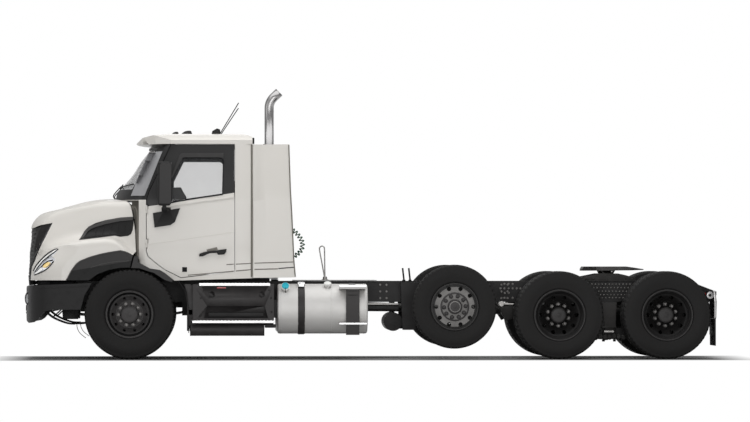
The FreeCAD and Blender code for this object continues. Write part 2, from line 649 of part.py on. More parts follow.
def cab_lower_edge():
    """Everything below the cab's sill line: wheel arch in front, skirt edge behind."""
    return plate_xz([(200, 900), (200, 1330), (-98, 1330), (-104, 1219), (-254, 1137), (-379, 1118), (-441, 1081),
                     (-560, 985), (CAB_REAR_X - 100, 1018), (CAB_REAR_X - 100, 900)], -1400, 1400)


def cab_hinges():
    """Left door's fixed hinge barrels, each with its pin standing out below and a web to the pillar."""
    parts = []
    for z in HINGE_Z:
        barrel = cyl_z(DOOR_FRONT_X, HINGE_Y, z, z + HINGE_H, HINGE_R)
        pin = cyl_z(DOOR_FRONT_X, HINGE_Y, z - HINGE_H, z, HINGE_PIN_R)
        web = box(DOOR_FRONT_X, DOOR_FRONT_X + 2 * SEAM, CAB_SIDE_Y - 16, HINGE_Y + 3, z, z + HINGE_H)
        parts.append(fused([barrel, pin, web]))
    return parts


def door_hinges():
    """Left door's turning barrels, and the room that the fixed ones need in its leaf."""
    turning = []
    room = []
    for z in HINGE_Z:
        barrel = cyl_z(DOOR_FRONT_X, HINGE_Y, z - HINGE_H, z - RUN, HINGE_R)
        bore = cyl_z(DOOR_FRONT_X, HINGE_Y, z - 2 * HINGE_H, z + HINGE_H, HINGE_PIN_R + RUN)
        web = box(DOOR_FRONT_X - 12, DOOR_FRONT_X, CAB_SIDE_Y - 16, HINGE_Y + 3, z - HINGE_H, z - RUN)
        turning.append(fused([barrel, web]))
        room += [bore, cyl_z(DOOR_FRONT_X, HINGE_Y, z - RUN, z + HINGE_H + HINGE_GAP, HINGE_R + HINGE_GAP + 12)]
    return turning, room


def cab():
    """Hollow cab: floor, firewall, cowl, pillars, sills and rear wall, with doors and windows cut."""
    inside = cab_block(CAB_WALL).common(box(-3000, 1000, -1300, 1300, CAB_FLOOR_Z + CAB_FLOOR_T, 3200))
    under = box(-3000, 1000, -CAB_SIDE_Y + CAB_WALL, CAB_SIDE_Y - CAB_WALL, 900, CAB_FLOOR_Z)
    roof_cut = box(-3000, 1000, -1300, 1300, ROOF_SEAM_Z, 3200)
    door_hole = plate_xz(grown(DOOR_OUTLINE, SEAM), CAB_SIDE_Y - 150, CAB_SIDE_Y + 100)
    rear_hole = box(CAB_REAR_X - 50, CAB_REAR_X + 120, -560, 560, 2070, 2520)
    shell = cab_block(0).cut([inside, under, roof_cut, cab_lower_edge(), door_hole, mirrored(door_hole),
                              windshield_room(0), rear_hole])
    hinges = cab_hinges()
    return fused([shell] + hinges + [mirrored(h) for h in hinges])


def windshield_room(grow):
    """Front-view outline of the windshield, pushed back past the pillars."""
    return plate_yz([(-870 - grow, 2130 - grow), (870 + grow, 2130 - grow), (800 + grow, 2640 + grow),
                     (-800 - grow, 2640 + grow)], -560, 400)


def cab_glass():
    """Windshield and rear window panes."""
    screen = cab_skin(GLASS_IN, GLASS_T, windshield_room(-RUN))
    rear_x = CAB_REAR_X + GLASS_IN
    rear = box(rear_x, rear_x + GLASS_T, -560 + RUN, 560 - RUN, 2070 + RUN, 2520 - RUN)
    return [screen, rear]


def door():
    """Left door leaf with its window hole, and its pane."""
    leaf = plate_xz(DOOR_OUTLINE, CAB_SIDE_Y - 140, CAB_SIDE_Y + 60)
    hole = plate_xz(WINDOW_OUTLINE, 500, 1300)
    pane = cab_skin(GLASS_IN, GLASS_T, plate_xz(grown(WINDOW_OUTLINE, -RUN), 500, 1300))
    barrels, room = door_hinges()
    return fused([cab_skin(0, CAB_WALL, leaf)] + barrels).cut([hole] + room), pane


def roof():
    """Roof cap with the visor over the windshield, hollow below."""
    side = [(CAB_REAR_X, ROOF_SEAM_Z), (CAB_REAR_X, 2790), (-1440, 2832), (-1100, ROOF_TOP_Z), (-500, ROOF_TOP_Z - 2),
            (-300, 2816), (-150, 2784), (-62, 2724), (-80, 2706), (-230, ROOF_SEAM_Z)]
    front = [(-CAB_ROOF_SIDE_Y, ROOF_SEAM_Z - 10), (-CAB_ROOF_SIDE_Y + 6, 2750), (-900, 2806), (-600, 2836),
             (0, 2850), (600, 2836), (900, 2806), (CAB_ROOF_SIDE_Y - 6, 2750), (CAB_ROOF_SIDE_Y, ROOF_SEAM_Z - 10)]
    plan = [(CAB_REAR_X, -1000), (CAB_REAR_X, 1000), (-520, 1000), (-330, 900), (-160, 620), (-62, 0),
            (-160, -620), (-330, -900), (-520, -1000)]
    cap = plate_xz(side, -1100, 1100).common(plate_yz(front, -2000, 200)).common(plate_xy(plan, 2600, 2900))
    inside = box(CAB_REAR_X + CAB_WALL, -540, -CAB_ROOF_SIDE_Y + 90, CAB_ROOF_SIDE_Y - 90, 2600, 2770)
    return cap.cut(inside)


def mirror():
    """Left door mirror: tall housing on an arm from the door."""
    case = box(-516, -354, 1250, 1420, 1920, 2468)
    housing = case.makeFillet(30, case.Edges)
    arm = plate_xy([(-430, 1070), (-400, 1260), (-470, 1260), (-520, 1070)], 1850, 1900)
    stem = box(-460, -410, 1250, 1300, 1850, 1950)
    foot = plate_xz([(-290, 1830), (-630, 1893), (-565, 1718), (-510, 1680), (-310, 1650)], CAB_SIDE_Y - 3,
                    CAB_SIDE_Y + 22)
    return fused([housing, stem, arm, foot]).cut(cab_block(0))


def interior():
    dash = plate_xz([(FIREWALL_X - CAB_WALL, 1600), (-60, 2000), (-200, 2060), (-420, 2040), (-470, 1880),
                     (-440, 1700), (-300, 1560), (FIREWALL_X - CAB_WALL, 1500)], -980, 980)
    return dash.common(cab_block(CAB_WALL + RUN))


def seats():
    """Driver and passenger seats on pedestals."""
    floor = CAB_FLOOR_Z + 50
    parts = []
    for y in (480, -480):
        base = box(-1150, -800, y - 180, y + 180, floor, 1480)
        cushion = box(-1240, -700, y - 250, y + 250, 1480, 1620)
        back = plate_xz([(-1240, 1600), (-1130, 1600), (-1250, 2240), (-1350, 2240)], y - 240, y + 240)
        parts.append(fused([base, cushion, back]))
    return parts


def steering_wheel():
    ring = Part.makeTorus(225, 16, Vector(-640, 480, 1900), Vector(-0.75, 0, 0.66))
    column = Part.makeCylinder(30, 380, Vector(-640, 480, 1900), Vector(0.75, 0, -0.66))
    spokes = [Part.makeCylinder(14, 225, Vector(-640, 480, 1900), Vector(0, s, 0)) for s in (1, -1)]
    return fused([ring, column] + spokes)


EXTENDER_PLAN = [(CAB_REAR_X, 940), (CAB_REAR_X, 1060), (CAB_REAR_X - 12, 1082), (-1700, 1110), (-2100, 1190),
                 (-2100, 1160), (-1700, 1078), (CAB_REAR_X - 30, 1046), (CAB_REAR_X - 16, 940)]


def extender():
    """Left cab side extender, closing the gap towards the trailer."""
    outline = [(CAB_REAR_X, 1019), (CAB_REAR_X, 2693), (-1998, 2693), (-2017, 2118), (-2035, 1806),
               (-2060, 1231), (-2079, 1025)]
    plans = []
    for z, lean in ((1000, 0), (CAB_BELT_Z, 0), (ROOF_SEAM_Z, CAB_ROOF_SIDE_Y - CAB_SIDE_Y)):
        corners = [Vector(x, y + lean, z) for x, y in EXTENDER_PLAN]
        plans.append(Part.makePolygon(corners + corners[:1]))
    return Part.makeLoft(plans, True, True).common(plate_xz(outline, 800, 1300))


# Chassis equipment

STEP_TOP = 940
STEP_FACE_Y = 1180
BOX_RECESS = [(-966, 668), (-1691, 668), (-1729, 516), (-929, 516)]
GRIP_X = (-1029, -1654)
LOW_TANK_R = 78


def step_box():
    """Battery and step box below the left door: recessed face, two treads, a round tank under it."""
    body = box(-791, -1804, 620, STEP_FACE_Y, 460, STEP_TOP)
    recess = plate_xz(BOX_RECESS, STEP_FACE_Y - 70, STEP_FACE_Y + 10)
    grips = [plate_xz([(x - 36, 790), (x - 30, 834), (x, 856), (x + 30, 834), (x + 36, 790)], STEP_FACE_Y - 34,
                      STEP_FACE_Y + 10) for x in GRIP_X]
    body = body.cut([recess] + grips)
    treads = [box(-870, -1754, 900, 1200, STEP_TOP - 2, STEP_TOP + 12), box(-785, -1798, 1000, 1204, 446, 462)]
    low_y = 1150 - LOW_TANK_R
    low = [cyl_x(low_y, 294 + LOW_TANK_R, -760, -1680, LOW_TANK_R),
           box(-800, -1640, 700, low_y, 330, 470)]
    arms = [box(x - 35, x + 35, RAIL_HALF_Y, 640, 740, 860) for x in (-900, -1660)]
    return fused([body] + low + treads + arms)


TANK_R = 312
TANK_Y = 868
TANK_Z = 631
TANK_END_R = 30
STRAP_X = (-2148, -2788)
STRAP_HALF = 43
STEP_PANEL_HALF = 84
STEP_TREAD_HALF = 168
TREAD_OUT_Y = 1215


def tank(x0, x1):
    """Left fuel tank, its ends rounded."""
    shell = cyl_x(TANK_Y, TANK_Z, x0, x1, TANK_R)
    rims = [e for e in shell.Edges if e.Closed]
    return shell.makeFillet(TANK_END_R, rims)


def straps():
    """Bands round the left tank with the steps they carry."""
    parts = []
    for x in STRAP_X:
        room = cyl_x(TANK_Y, TANK_Z, x - STRAP_HALF - 1, x + STRAP_HALF + 1, TANK_R + RUN)
        ring = cyl_x(TANK_Y, TANK_Z, x - STRAP_HALF, x + STRAP_HALF, TANK_R + 5)
        foot = box(x - STRAP_HALF, x + STRAP_HALF, RAIL_HALF_Y, TANK_Y - 200, TANK_Z + 60, TANK_Z + 260)
        parts.append(fused([ring, foot]).cut(room))
    return parts


def exhaust():
    """Vertical stack behind the cab on the right, its tip turned back."""
    x, y = -1766, -860
    can = cyl_z(x, y, 1000, 2700, 118)
    pipe = tube([Vector(x, y, 2690), Vector(x, y, 3300), Vector(x - 130, y, 3425)], 60, 190)
    bracket = box(CAB_REAR_X, x + 100, y + 20, y + 80, 2300, 2340)
    return fused([can, pipe, bracket])


# Lift axle, drive axles and their suspension

LIFT_ARM_Y = 510
LIFT_ARM_T = 70
LIFT_BAG_Y = 385


def lift_axle():
    """Drop-centre axle with spindles and trailing arms."""
    z = LIFT_Z
    outline = [(-LIFT_Y + 160, z + 50), (-690, z + 50), (-510, 540), (510, 540), (690, z + 50), (LIFT_Y - 160, z + 50),
               (LIFT_Y - 160, z - 50), (650, z - 50), (470, 440), (-470, 440), (-650, z - 50), (-LIFT_Y + 160, z - 50)]
    beam = plate_yz(outline, LIFT_AXLE_X - 60, LIFT_AXLE_X + 60)
    spindles = cyl_y(LIFT_AXLE_X, z, LIFT_Y - 165, LIFT_Y + 20, SPINDLE_R)
    parts = [beam, spindles, mirrored(spindles)]
    arm = plate_xz([(LIFT_AXLE_X - 80, 600), (LIFT_AXLE_X - 80, 470), (-3520, 400), (-3470, 400), (-3470, 480)],
                   LIFT_ARM_Y, LIFT_ARM_Y + LIFT_ARM_T)
    return fused(parts + both(arm))


def cab_mounts():
    """Posts between the rails and the cab floor."""
    return [box(x - 40, x + 40, y, y + 80, RAIL_TOP, CAB_FLOOR_Z) for x in (-480, -1420) for y in (350, -430)]


def lift_hangers():
    """Plates bolted to the rails that the lift axle's arms swing in."""
    y0 = LIFT_ARM_Y - 15
    y1 = LIFT_ARM_Y + LIFT_ARM_T + 15
    hanger = plate_xz([(-3413, 960), (-3642, 960), (-3600, 360), (-3440, 360)], y0, y1)
    slot = box(-3700, -3300, LIFT_ARM_Y - RUN, LIFT_ARM_Y + LIFT_ARM_T + RUN, 300, 640)
    seat = box(-3642, -3413, RAIL_HALF_Y, y0 + 5, 760, 960)
    return both(fused([hanger.cut(slot), seat]))


def lift_bags():
    """Air springs between the lift axle and the rails."""
    return both(cyl_z(LIFT_AXLE_X, LIFT_BAG_Y, 540, RAIL_BOTTOM, 105))


def drive_axle(x):
    """Drive axle housing: banjo in the middle, tubes out to the spindles."""
    z = DRIVE_TYRE_R
    parts = [cyl_y(x, z, -DRUM_IN + 30, DRUM_IN - 30, 84), cyl_y(x, z, -AXLE_SPINDLE_END, AXLE_SPINDLE_END,
                                                                    AXLE_SPINDLE_R)]
    parts.append(cyl_x(0, z, x - 150, x + 170, 215))
    parts.append(cyl_x(0, z + 40, x, x + 330, 90))
    return fused(parts)


BEAM_Y0 = RAIL_HALF_Y + 30
BEAM_Y1 = BEAM_Y0 + 70


def walking_beam():
    """Left equalizing beam with the hanger that carries it."""
    front, rear = DRIVE_AXLE_X
    beam = plate_xz([(front + 90, 420), (front + 90, 330), (TANDEM_X + 200, 240), (TANDEM_X - 200, 240),
                     (rear - 90, 330), (rear - 90, 420), (TANDEM_X - 180, 380), (TANDEM_X + 180, 380)],
                    BEAM_Y0, BEAM_Y1)
    seats_ = [box(x - 60, x + 60, BEAM_Y0, BEAM_Y1, 400, DRIVE_TYRE_R - 70) for x in (front, rear)]
    beam = fused([beam] + seats_)
    for x in (front, rear):
        beam = beam.cut(cyl_y(x, DRIVE_TYRE_R, BEAM_Y0 - 10, BEAM_Y1 + 10, 84 + RUN))
    foot_z = 380 + RUN
    hanger = plate_xz([(TANDEM_X + 300, RAIL_TOP - 20), (TANDEM_X - 300, RAIL_TOP - 20), (TANDEM_X - 290, 745),
                       (TANDEM_X - 92, 712), (TANDEM_X - 92, foot_z), (TANDEM_X + 92, foot_z), (TANDEM_X + 92, 712),
                       (TANDEM_X + 290, 745)], RAIL_HALF_Y, RAIL_HALF_Y + 100)
    return [beam, hanger]


# Fifth wheel

def fifth_wheel():
    """Top plate with its throat, ramps and closed kingpin lock."""
    front = PLATE_X + 318
    rear = PLATE_X - 461
    side = [(front, PLATE_TOP_Z - 30), (front - 20, PLATE_TOP_Z), (rear + 240, PLATE_TOP_Z),
            (rear, PLATE_TOP_Z - 34), (rear + 10, PLATE_TOP_Z - 44), (rear + 200, PLATE_TOP_Z - 50),
            (front, PLATE_TOP_Z - 54)]
    plan = [(front, -200), (front, 200), (front - 160, 420), (PLATE_X, PLATE_HALF_Y), (rear + 160, PLATE_HALF_Y),
            (rear, 300), (rear, 210), (PLATE_X - 90, 34), (PLATE_X - 90, -34), (rear, -210), (rear, -300),
            (rear + 160, -PLATE_HALF_Y), (PLATE_X, -PLATE_HALF_Y), (front - 160, -420)]
    slab = plate_xz(side, -500, 500).common(plate_xy(plan, 1000, 1200))
    lock_top = PLATE_TOP_Z - 6
    slab = slab.cut(cyl_z(PLATE_X, 0, 1000, 1200, 60))
    lock = cyl_z(PLATE_X, 0, lock_top - LOCK_H, lock_top, 62)
    lugs = [plate_xz([(PLATE_X - 90, PLATE_TOP_Z - 48), (PLATE_X + 90, PLATE_TOP_Z - 48),
                      (PLATE_X + 34, PLATE_PIVOT_Z - 30), (PLATE_X - 34, PLATE_PIVOT_Z - 30)], y - 22, y + 22)
            for y in (330, -330)]
    whole = fused([slab, lock] + lugs)
    whole = whole.cut(cyl_z(PLATE_X, 0, 1000, 1200, KINGPIN_BORE_R))
    for y in (330, -330):
        whole = whole.cut(cyl_y(PLATE_X, PLATE_PIVOT_Z, y - 40, y + 40, 24 + RUN))
    return whole


def fifth_wheel_base():
    """Mounting plate on the rails with two bearing ears each side."""
    foot = [box(PLATE_X + 330, PLATE_X - 330, RAIL_HALF_Y - RAIL_FLANGE, RAIL_HALF_Y + 40, RAIL_TOP, RAIL_TOP + 14)]
    foot.append(mirrored(foot[0]))
    deck = box(PLATE_X + 180, PLATE_X - 180, -RAIL_HALF_Y, RAIL_HALF_Y, RAIL_TOP, RAIL_TOP + 14)
    parts = foot + [deck]
    for y in (330, -330):
        for inner in (-1, 1):
            y0 = y + inner * (22 + 5.5)
            y1 = y0 + inner * 20
            parts.append(plate_xz([(PLATE_X + 130, RAIL_TOP + 10), (PLATE_X + 30, PLATE_PIVOT_Z + 28),
                                   (PLATE_X - 30, PLATE_PIVOT_Z + 28), (PLATE_X - 130, RAIL_TOP + 10)],
                                  min(y0, y1), max(y0, y1)))
        parts.append(cyl_y(PLATE_X, PLATE_PIVOT_Z, y - 50, y + 50, 24))
    return fused(parts)


# Driveline, tanks, guards and other chassis equipment

ENGINE_REAR_X = FIREWALL_X + 14
SHAFT_FRONT = (-1150, 712)
PINION_LIFT = 40
JOINT_GAP = 2.5


def engine():
    """The engine as one plain block, on feet in the rails' lower flanges."""
    block = box(ENGINE_REAR_X, 800, -310, 310, 590, 1560)
    feet = [box(x, x + 120, -RAIL_HALF_Y + RAIL_T + 10, RAIL_HALF_Y - RAIL_T - 10, RAIL_BOTTOM + RAIL_T, RAIL_BOTTOM + 60)
            for x in (0, 600)]
    return fused([block] + feet)


def gearbox():
    """Gearbox behind the engine."""
    return fused([plate_yz([(-190, 640), (190, 640), (230, 800), (190, 1060), (-190, 1060), (-230, 800)], -1080, ENGINE_REAR_X),
                  cyl_x(0, SHAFT_FRONT[1], -1150, -1070, 90)])


def driveshafts():
    """Main shaft to the front drive axle and the short shaft between the two."""
    x, z = SHAFT_FRONT
    end = Vector(DRIVE_AXLE_X[0] + 330 + JOINT_GAP, 0, DRIVE_TYRE_R + PINION_LIFT)
    start = Vector(x - JOINT_GAP, 0, z)
    main_shaft = Part.makeCylinder(52, (end - start).Length, start, end - start)
    x2 = DRIVE_AXLE_X[1] + 330 + RUN
    short = cyl_x(0, DRIVE_TYRE_R + PINION_LIFT, DRIVE_AXLE_X[0] - 150 - RUN, x2, 44)
    return [main_shaft, short]


def deck_plate():
    """Tread plate on the rails behind the cab."""
    return box(-2062, -3110, -540, 540, RAIL_TOP, RAIL_TOP + 12)


def hose_tender():
    """Hoop on the deck that keeps the trailer lines up."""
    x = -2432
    z = RAIL_TOP + 12
    return tube([Vector(x - 30, 0, z), Vector(x - 30, 0, 1424), Vector(x + 30, 0, 1424), Vector(x + 30, 0, z)], 9, 28)


LINE_Y = (150, -90)
COIL_R = 34
LINE_ROUTE = [(-1566, 1700), (-1720, 1700), (-1900, 1690), (-2070, 1630), (-2180, 1500), (-2185, 1380),
              (-2080, 1285), (-1910, 1210), (-1740, 1165), (-1566, 1165)]


def air_line(y):
    """Curly line hanging in a loop from the cab's rear wall, as one fat tube."""
    return tube([Vector(x, y, z) for x, z in LINE_ROUTE], COIL_R, None)


def line_couplings():
    """Glands on the cab's rear wall that hold both ends of the lines."""
    parts = []
    for y in LINE_Y:
        for x, z in (LINE_ROUTE[0], LINE_ROUTE[-1]):
            parts.append(cyl_x(y, z, x, CAB_REAR_X, 30))
    return parts


AIR_TANK = (-3324, 462, 118)
AIR_TANK_HALF_Y = 430


def air_tanks():
    """Air reservoirs hung across the frame ahead of the lift axle."""
    x, z, r = AIR_TANK
    bands = [box(x - 20, x + 20, y, y + 40, z, RAIL_BOTTOM) for y in (360, -400)]
    return [fused([cyl_y(x, z, -AIR_TANK_HALF_Y, AIR_TANK_HALF_Y, r)] + bands)]


def mud_guards():
    """Rubber flaps behind the drive wheels and splash guards behind the front wheels."""
    flap = box(-7342, -7332, 640, 1215, 168, 520)
    guard = plate_xz([(-741, 330), (-741, 640), (-696, 866), (-604, 985), (-572, 985), (-598, 985), (-688, 860),
                      (-735, 638), (-735, 330)], 640, 1180)
    stays = [box(-791, -738, y, y + 40, 560, 620) for y in (700, 1080)]
    return both(flap) + both(fused([guard] + stays))


def flap_hangers():
    """Arms and plates behind the drive wheels that carry the flaps."""
    arm = box(-7350, -7310, RAIL_HALF_Y, 1215, 800, 850)
    sheet = box(-7332, -7326, 640, 1215, 300, 802)
    return both(fused([arm, sheet]))


def tail_lamps():
    """Round lamps behind the frame's end and on the rails' tails."""
    return both(cyl_y(-7270, 800, RAIL_HALF_Y, RAIL_HALF_Y + 24, 36))


def aerials():
    """Roof aerials, raked back, and a low roof pod."""
    parts = []
    for y, drop in ((380, 0), (-380, 40)):
        foot = Vector(-1110, y, 2815)
        tip = Vector(-1365, y, 3239 - drop)
        rod = Part.makeCylinder(6, (tip - foot).Length, foot, tip - foot)
        fin = plate_xz([(-1014, 2800), (-1030, 2880), (-1090, 2914), (-1129, 2900), (-1140, 2800)], y - 24, y + 24)
        parts.append(fused([rod, fin]).cut(roof()))
    return parts


def arch_trim():
    """Grey trim of the fixed rear part of the front wheel arch."""
    edge = [(-104, 1290), (-104, 1219), (-254, 1137), (-379, 1118), (-441, 1081), (-541, 993)]
    lip = plate_xz([(-22, 1142), (-58, 1290)] + edge + [(-529, 968), (-441, 993), (-300, 1085), (-254, 1096),
                                                        (-120, 1142)], 1180, FENDER_Y)
    web = plate_xz(edge + [(-550, 984), (-450, 1070), (-385, 1106), (-250, 1126), (-94, 1211), (-94, 1290)],
                   CAB_SIDE_Y - 60, FENDER_Y)
    return both(fused([lip, web]))


def tank_steps():
    """Bands round the tanks with their feet on the rails; the rear band carries a step panel with two treads."""
    x = STRAP_X[1]
    face_y = TANK_Y + TANK_R + 3
    panel = box(x - STEP_PANEL_HALF, x + STEP_PANEL_HALF, face_y, face_y + 17, 306, 890)
    treads = [box(x - STEP_TREAD_HALF, x + STEP_TREAD_HALF, TANK_Y + 180, TREAD_OUT_Y, z - h, z)
              for z, h in ((931, 50), (458, 22))]
    step = fused([panel] + treads).cut(cyl_x(TANK_Y, TANK_Z, x - 300, x + 300, TANK_R + RUN))
    return both(fused([step, straps()[1]])) + both(straps()[0])


def main():
    os.makedirs("parts", exist_ok=True)
    save_single("steer", 0, STEER_TYRE_R, STEER_Y, STEER_TYRE_R, STEER_TYRE_W, STEER_DISC,
                KINGPIN_Y + BEAM_BOSS_R + YOKE_GAP + 36)
    save_single("lift", LIFT_AXLE_X, LIFT_Z, LIFT_Y, LIFT_TYRE_R, LIFT_TYRE_W, LIFT_DISC, LIFT_Y - 144)
    drive_wheels()
    save("front_axle_beam", front_axle())
    save("knuckle_left", knuckle())
    save("knuckle_right", mirrored(knuckle()))
    save("tie_rod", tie_rod())
    springs = front_spring() + walking_beam()
    save("suspension", *springs, *[mirrored(s) for s in springs])
    save("frame_rails", *both(rail()))
    save("crossmembers", *[crossmember(x) for x in CROSSMEMBER_X], *air_tanks())
    save("chassis_brackets", *hood_hinge(), *cab_mounts(), *lift_hangers(), *flap_hangers())
    save("front_bumper", bumper())
    shell, flare, vent, lamp = hood_parts()
    save("hood_shell", shell)
    save("fender_flares", *both(flare))
    save("headlamps", *both(lamp))
    save("grilles", grille(), *both(vent))
    save("arch_trim", *arch_trim())
    save("cab_shell", cab())
    save("cab_glass", *cab_glass())
    leaf, pane = door()
    for side, put in (("left", lambda s: s), ("right", mirrored)):
        save("door_" + side, put(leaf))
        save("door_glass_" + side, put(pane))
        save("mirror_" + side, put(mirror()))
    save("cab_roof", roof())
    save("aerials", *aerials())
    save("dashboard", fused([interior(), steering_wheel()]))
    save("seats", *seats())
    save("side_extenders", *both(extender()))
    save("step_boxes", *both(step_box()))
    save("fuel_tanks", *both(tank(-1848, -2979)))
    save("tank_steps", *tank_steps())
    save("exhaust_stack", exhaust())
    save("deck_plate", deck_plate())
    save("hose_tender", hose_tender(), *line_couplings())
    save("air_lines", *[air_line(y) for y in LINE_Y])
    save("rear_axles", lift_axle(), *[drive_axle(x) for x in DRIVE_AXLE_X])
    save("lift_air_springs", *lift_bags())
    save("fifth_wheel_plate", fifth_wheel())
    save("fifth_wheel_base", fifth_wheel_base())
    save("engine_block", engine())
    save("driveline", gearbox(), *driveshafts())
    save("radiator", box(870, 1000, -430, 430, RAIL_TOP, 1700))
    save("mud_guards", *mud_guards())
    save("tail_lamps", *tail_lamps())


main()
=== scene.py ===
import json
import math

import bmesh
import bpy
import numpy as np
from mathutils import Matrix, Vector
from mathutils.bvhtree import BVHTree

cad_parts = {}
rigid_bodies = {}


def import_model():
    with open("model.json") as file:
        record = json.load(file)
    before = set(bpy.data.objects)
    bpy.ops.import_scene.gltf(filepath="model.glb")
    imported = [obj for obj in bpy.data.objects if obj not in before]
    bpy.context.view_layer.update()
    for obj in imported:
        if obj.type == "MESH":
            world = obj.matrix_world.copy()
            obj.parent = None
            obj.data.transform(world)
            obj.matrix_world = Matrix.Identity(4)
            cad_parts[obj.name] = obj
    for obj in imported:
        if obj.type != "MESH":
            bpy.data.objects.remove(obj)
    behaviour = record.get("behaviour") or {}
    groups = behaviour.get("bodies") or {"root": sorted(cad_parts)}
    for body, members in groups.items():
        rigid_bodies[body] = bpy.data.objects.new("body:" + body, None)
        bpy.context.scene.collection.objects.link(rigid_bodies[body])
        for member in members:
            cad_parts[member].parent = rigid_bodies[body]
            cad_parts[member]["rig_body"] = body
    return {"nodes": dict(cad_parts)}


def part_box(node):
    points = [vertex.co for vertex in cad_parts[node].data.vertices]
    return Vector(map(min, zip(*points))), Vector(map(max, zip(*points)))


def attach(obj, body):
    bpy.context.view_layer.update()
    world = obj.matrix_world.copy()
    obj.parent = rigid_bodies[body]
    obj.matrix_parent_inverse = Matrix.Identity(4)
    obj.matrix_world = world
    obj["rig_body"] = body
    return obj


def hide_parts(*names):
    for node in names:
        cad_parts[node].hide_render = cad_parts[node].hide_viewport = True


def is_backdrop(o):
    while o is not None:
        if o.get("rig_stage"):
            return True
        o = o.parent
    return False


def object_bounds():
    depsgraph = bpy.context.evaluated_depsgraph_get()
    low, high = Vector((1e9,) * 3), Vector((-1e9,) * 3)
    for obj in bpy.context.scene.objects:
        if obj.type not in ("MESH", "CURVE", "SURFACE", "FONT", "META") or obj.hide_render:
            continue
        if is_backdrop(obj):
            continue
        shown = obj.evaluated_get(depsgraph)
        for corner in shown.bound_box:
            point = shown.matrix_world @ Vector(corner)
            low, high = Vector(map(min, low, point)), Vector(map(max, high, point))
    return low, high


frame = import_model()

# Places are millimetres from the front axle: X forward, Y left, Z up from the ground.
# Every mesh is moved to the frame's own origin and to metres when it is made.
MM = 0.001
TAU = 2 * math.pi

AHEAD = (1, 0, 0)
BACK = (-1, 0, 0)
LEFT = (0, 1, 0)
RIGHT = (0, -1, 0)
UP = (0, 0, 1)
DOWN = (0, 0, -1)
SIDES = ("left", "right")

low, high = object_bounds()
low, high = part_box("tyre_steer_left")
FRONT_AXLE = (low.x + high.x) / 2

# Wheels: axle line, tyre's middle, its radii and width; then the hub's face with its radii, the cap's
# depth and the first nut's angle
STEER = {"x": 0, "z": 564, "y": 1040, "tread": 564, "width": 422, "bead": 284,
         "hub": 1161, "nuts": 136, "cap": 107, "ring": 168, "depth": 51, "first": -0.03}
LIFT = {"x": -4066, "z": 658, "y": 1082, "tread": 527, "width": 279, "bead": 284,
        "hub": 1203, "nuts": 136, "cap": 86, "ring": 169, "depth": 51, "first": -0.05}
DRIVES = [{"x": x, "z": 552, "y": 1082, "tread": 552, "width": 279, "bead": 309, "hub": 931, "nuts": 136,
           "cap": 102, "ring": 190, "depth": 86, "first": 0.31} for x in (-5383, -6735)]
DUAL_SPACING = 330
# A rim's width as a share of its tyre's
BEAD_SPREAD = 0.74
CAB_REAR = -1535
RAIL_SIDE = 432
PLATE_X = -6068
PLATE_TOP = 1162
# The tanks' axis as (y, z), the stack's as (x, y)
TANK_AXIS = (868, 631)
STACK = (-1766, -860)
TAIL_X = -7386
FLAP_X = -7342.5
# Where rays start that look for a surface from the side or from the front
OUTSIDE = 1600.0
IN_FRONT = 1700.0

# Shader expressions


class Value:
    """A shader socket that takes part in Python arithmetic: each operator adds a Math node."""

    def __init__(self, finish, socket):
        self.finish = finish
        self.socket = socket

    def math(self, operation, *others):
        return self.finish.node("ShaderNodeMath", {"operation": operation}, *others)

    def wave(self):
        return self.math("SINE", self)

    def size(self):
        return self.math("ABSOLUTE", self)

    def power(self, other):
        return self.math("POWER", self, other)

    def most(self, other):
        return self.math("MAXIMUM", self, other)


OPERATORS = {"add": "ADD", "sub": "SUBTRACT", "mul": "MULTIPLY", "truediv": "DIVIDE", "gt": "GREATER_THAN",
             "lt": "LESS_THAN"}
for word, operation in OPERATORS.items():
    setattr(Value, "__%s__" % word, lambda self, other, kind=operation: self.math(kind, self, other))
    if operation in ("ADD", "SUBTRACT", "MULTIPLY"):
        setattr(Value, "__r%s__" % word, lambda self, other, kind=operation: self.math(kind, other, self))


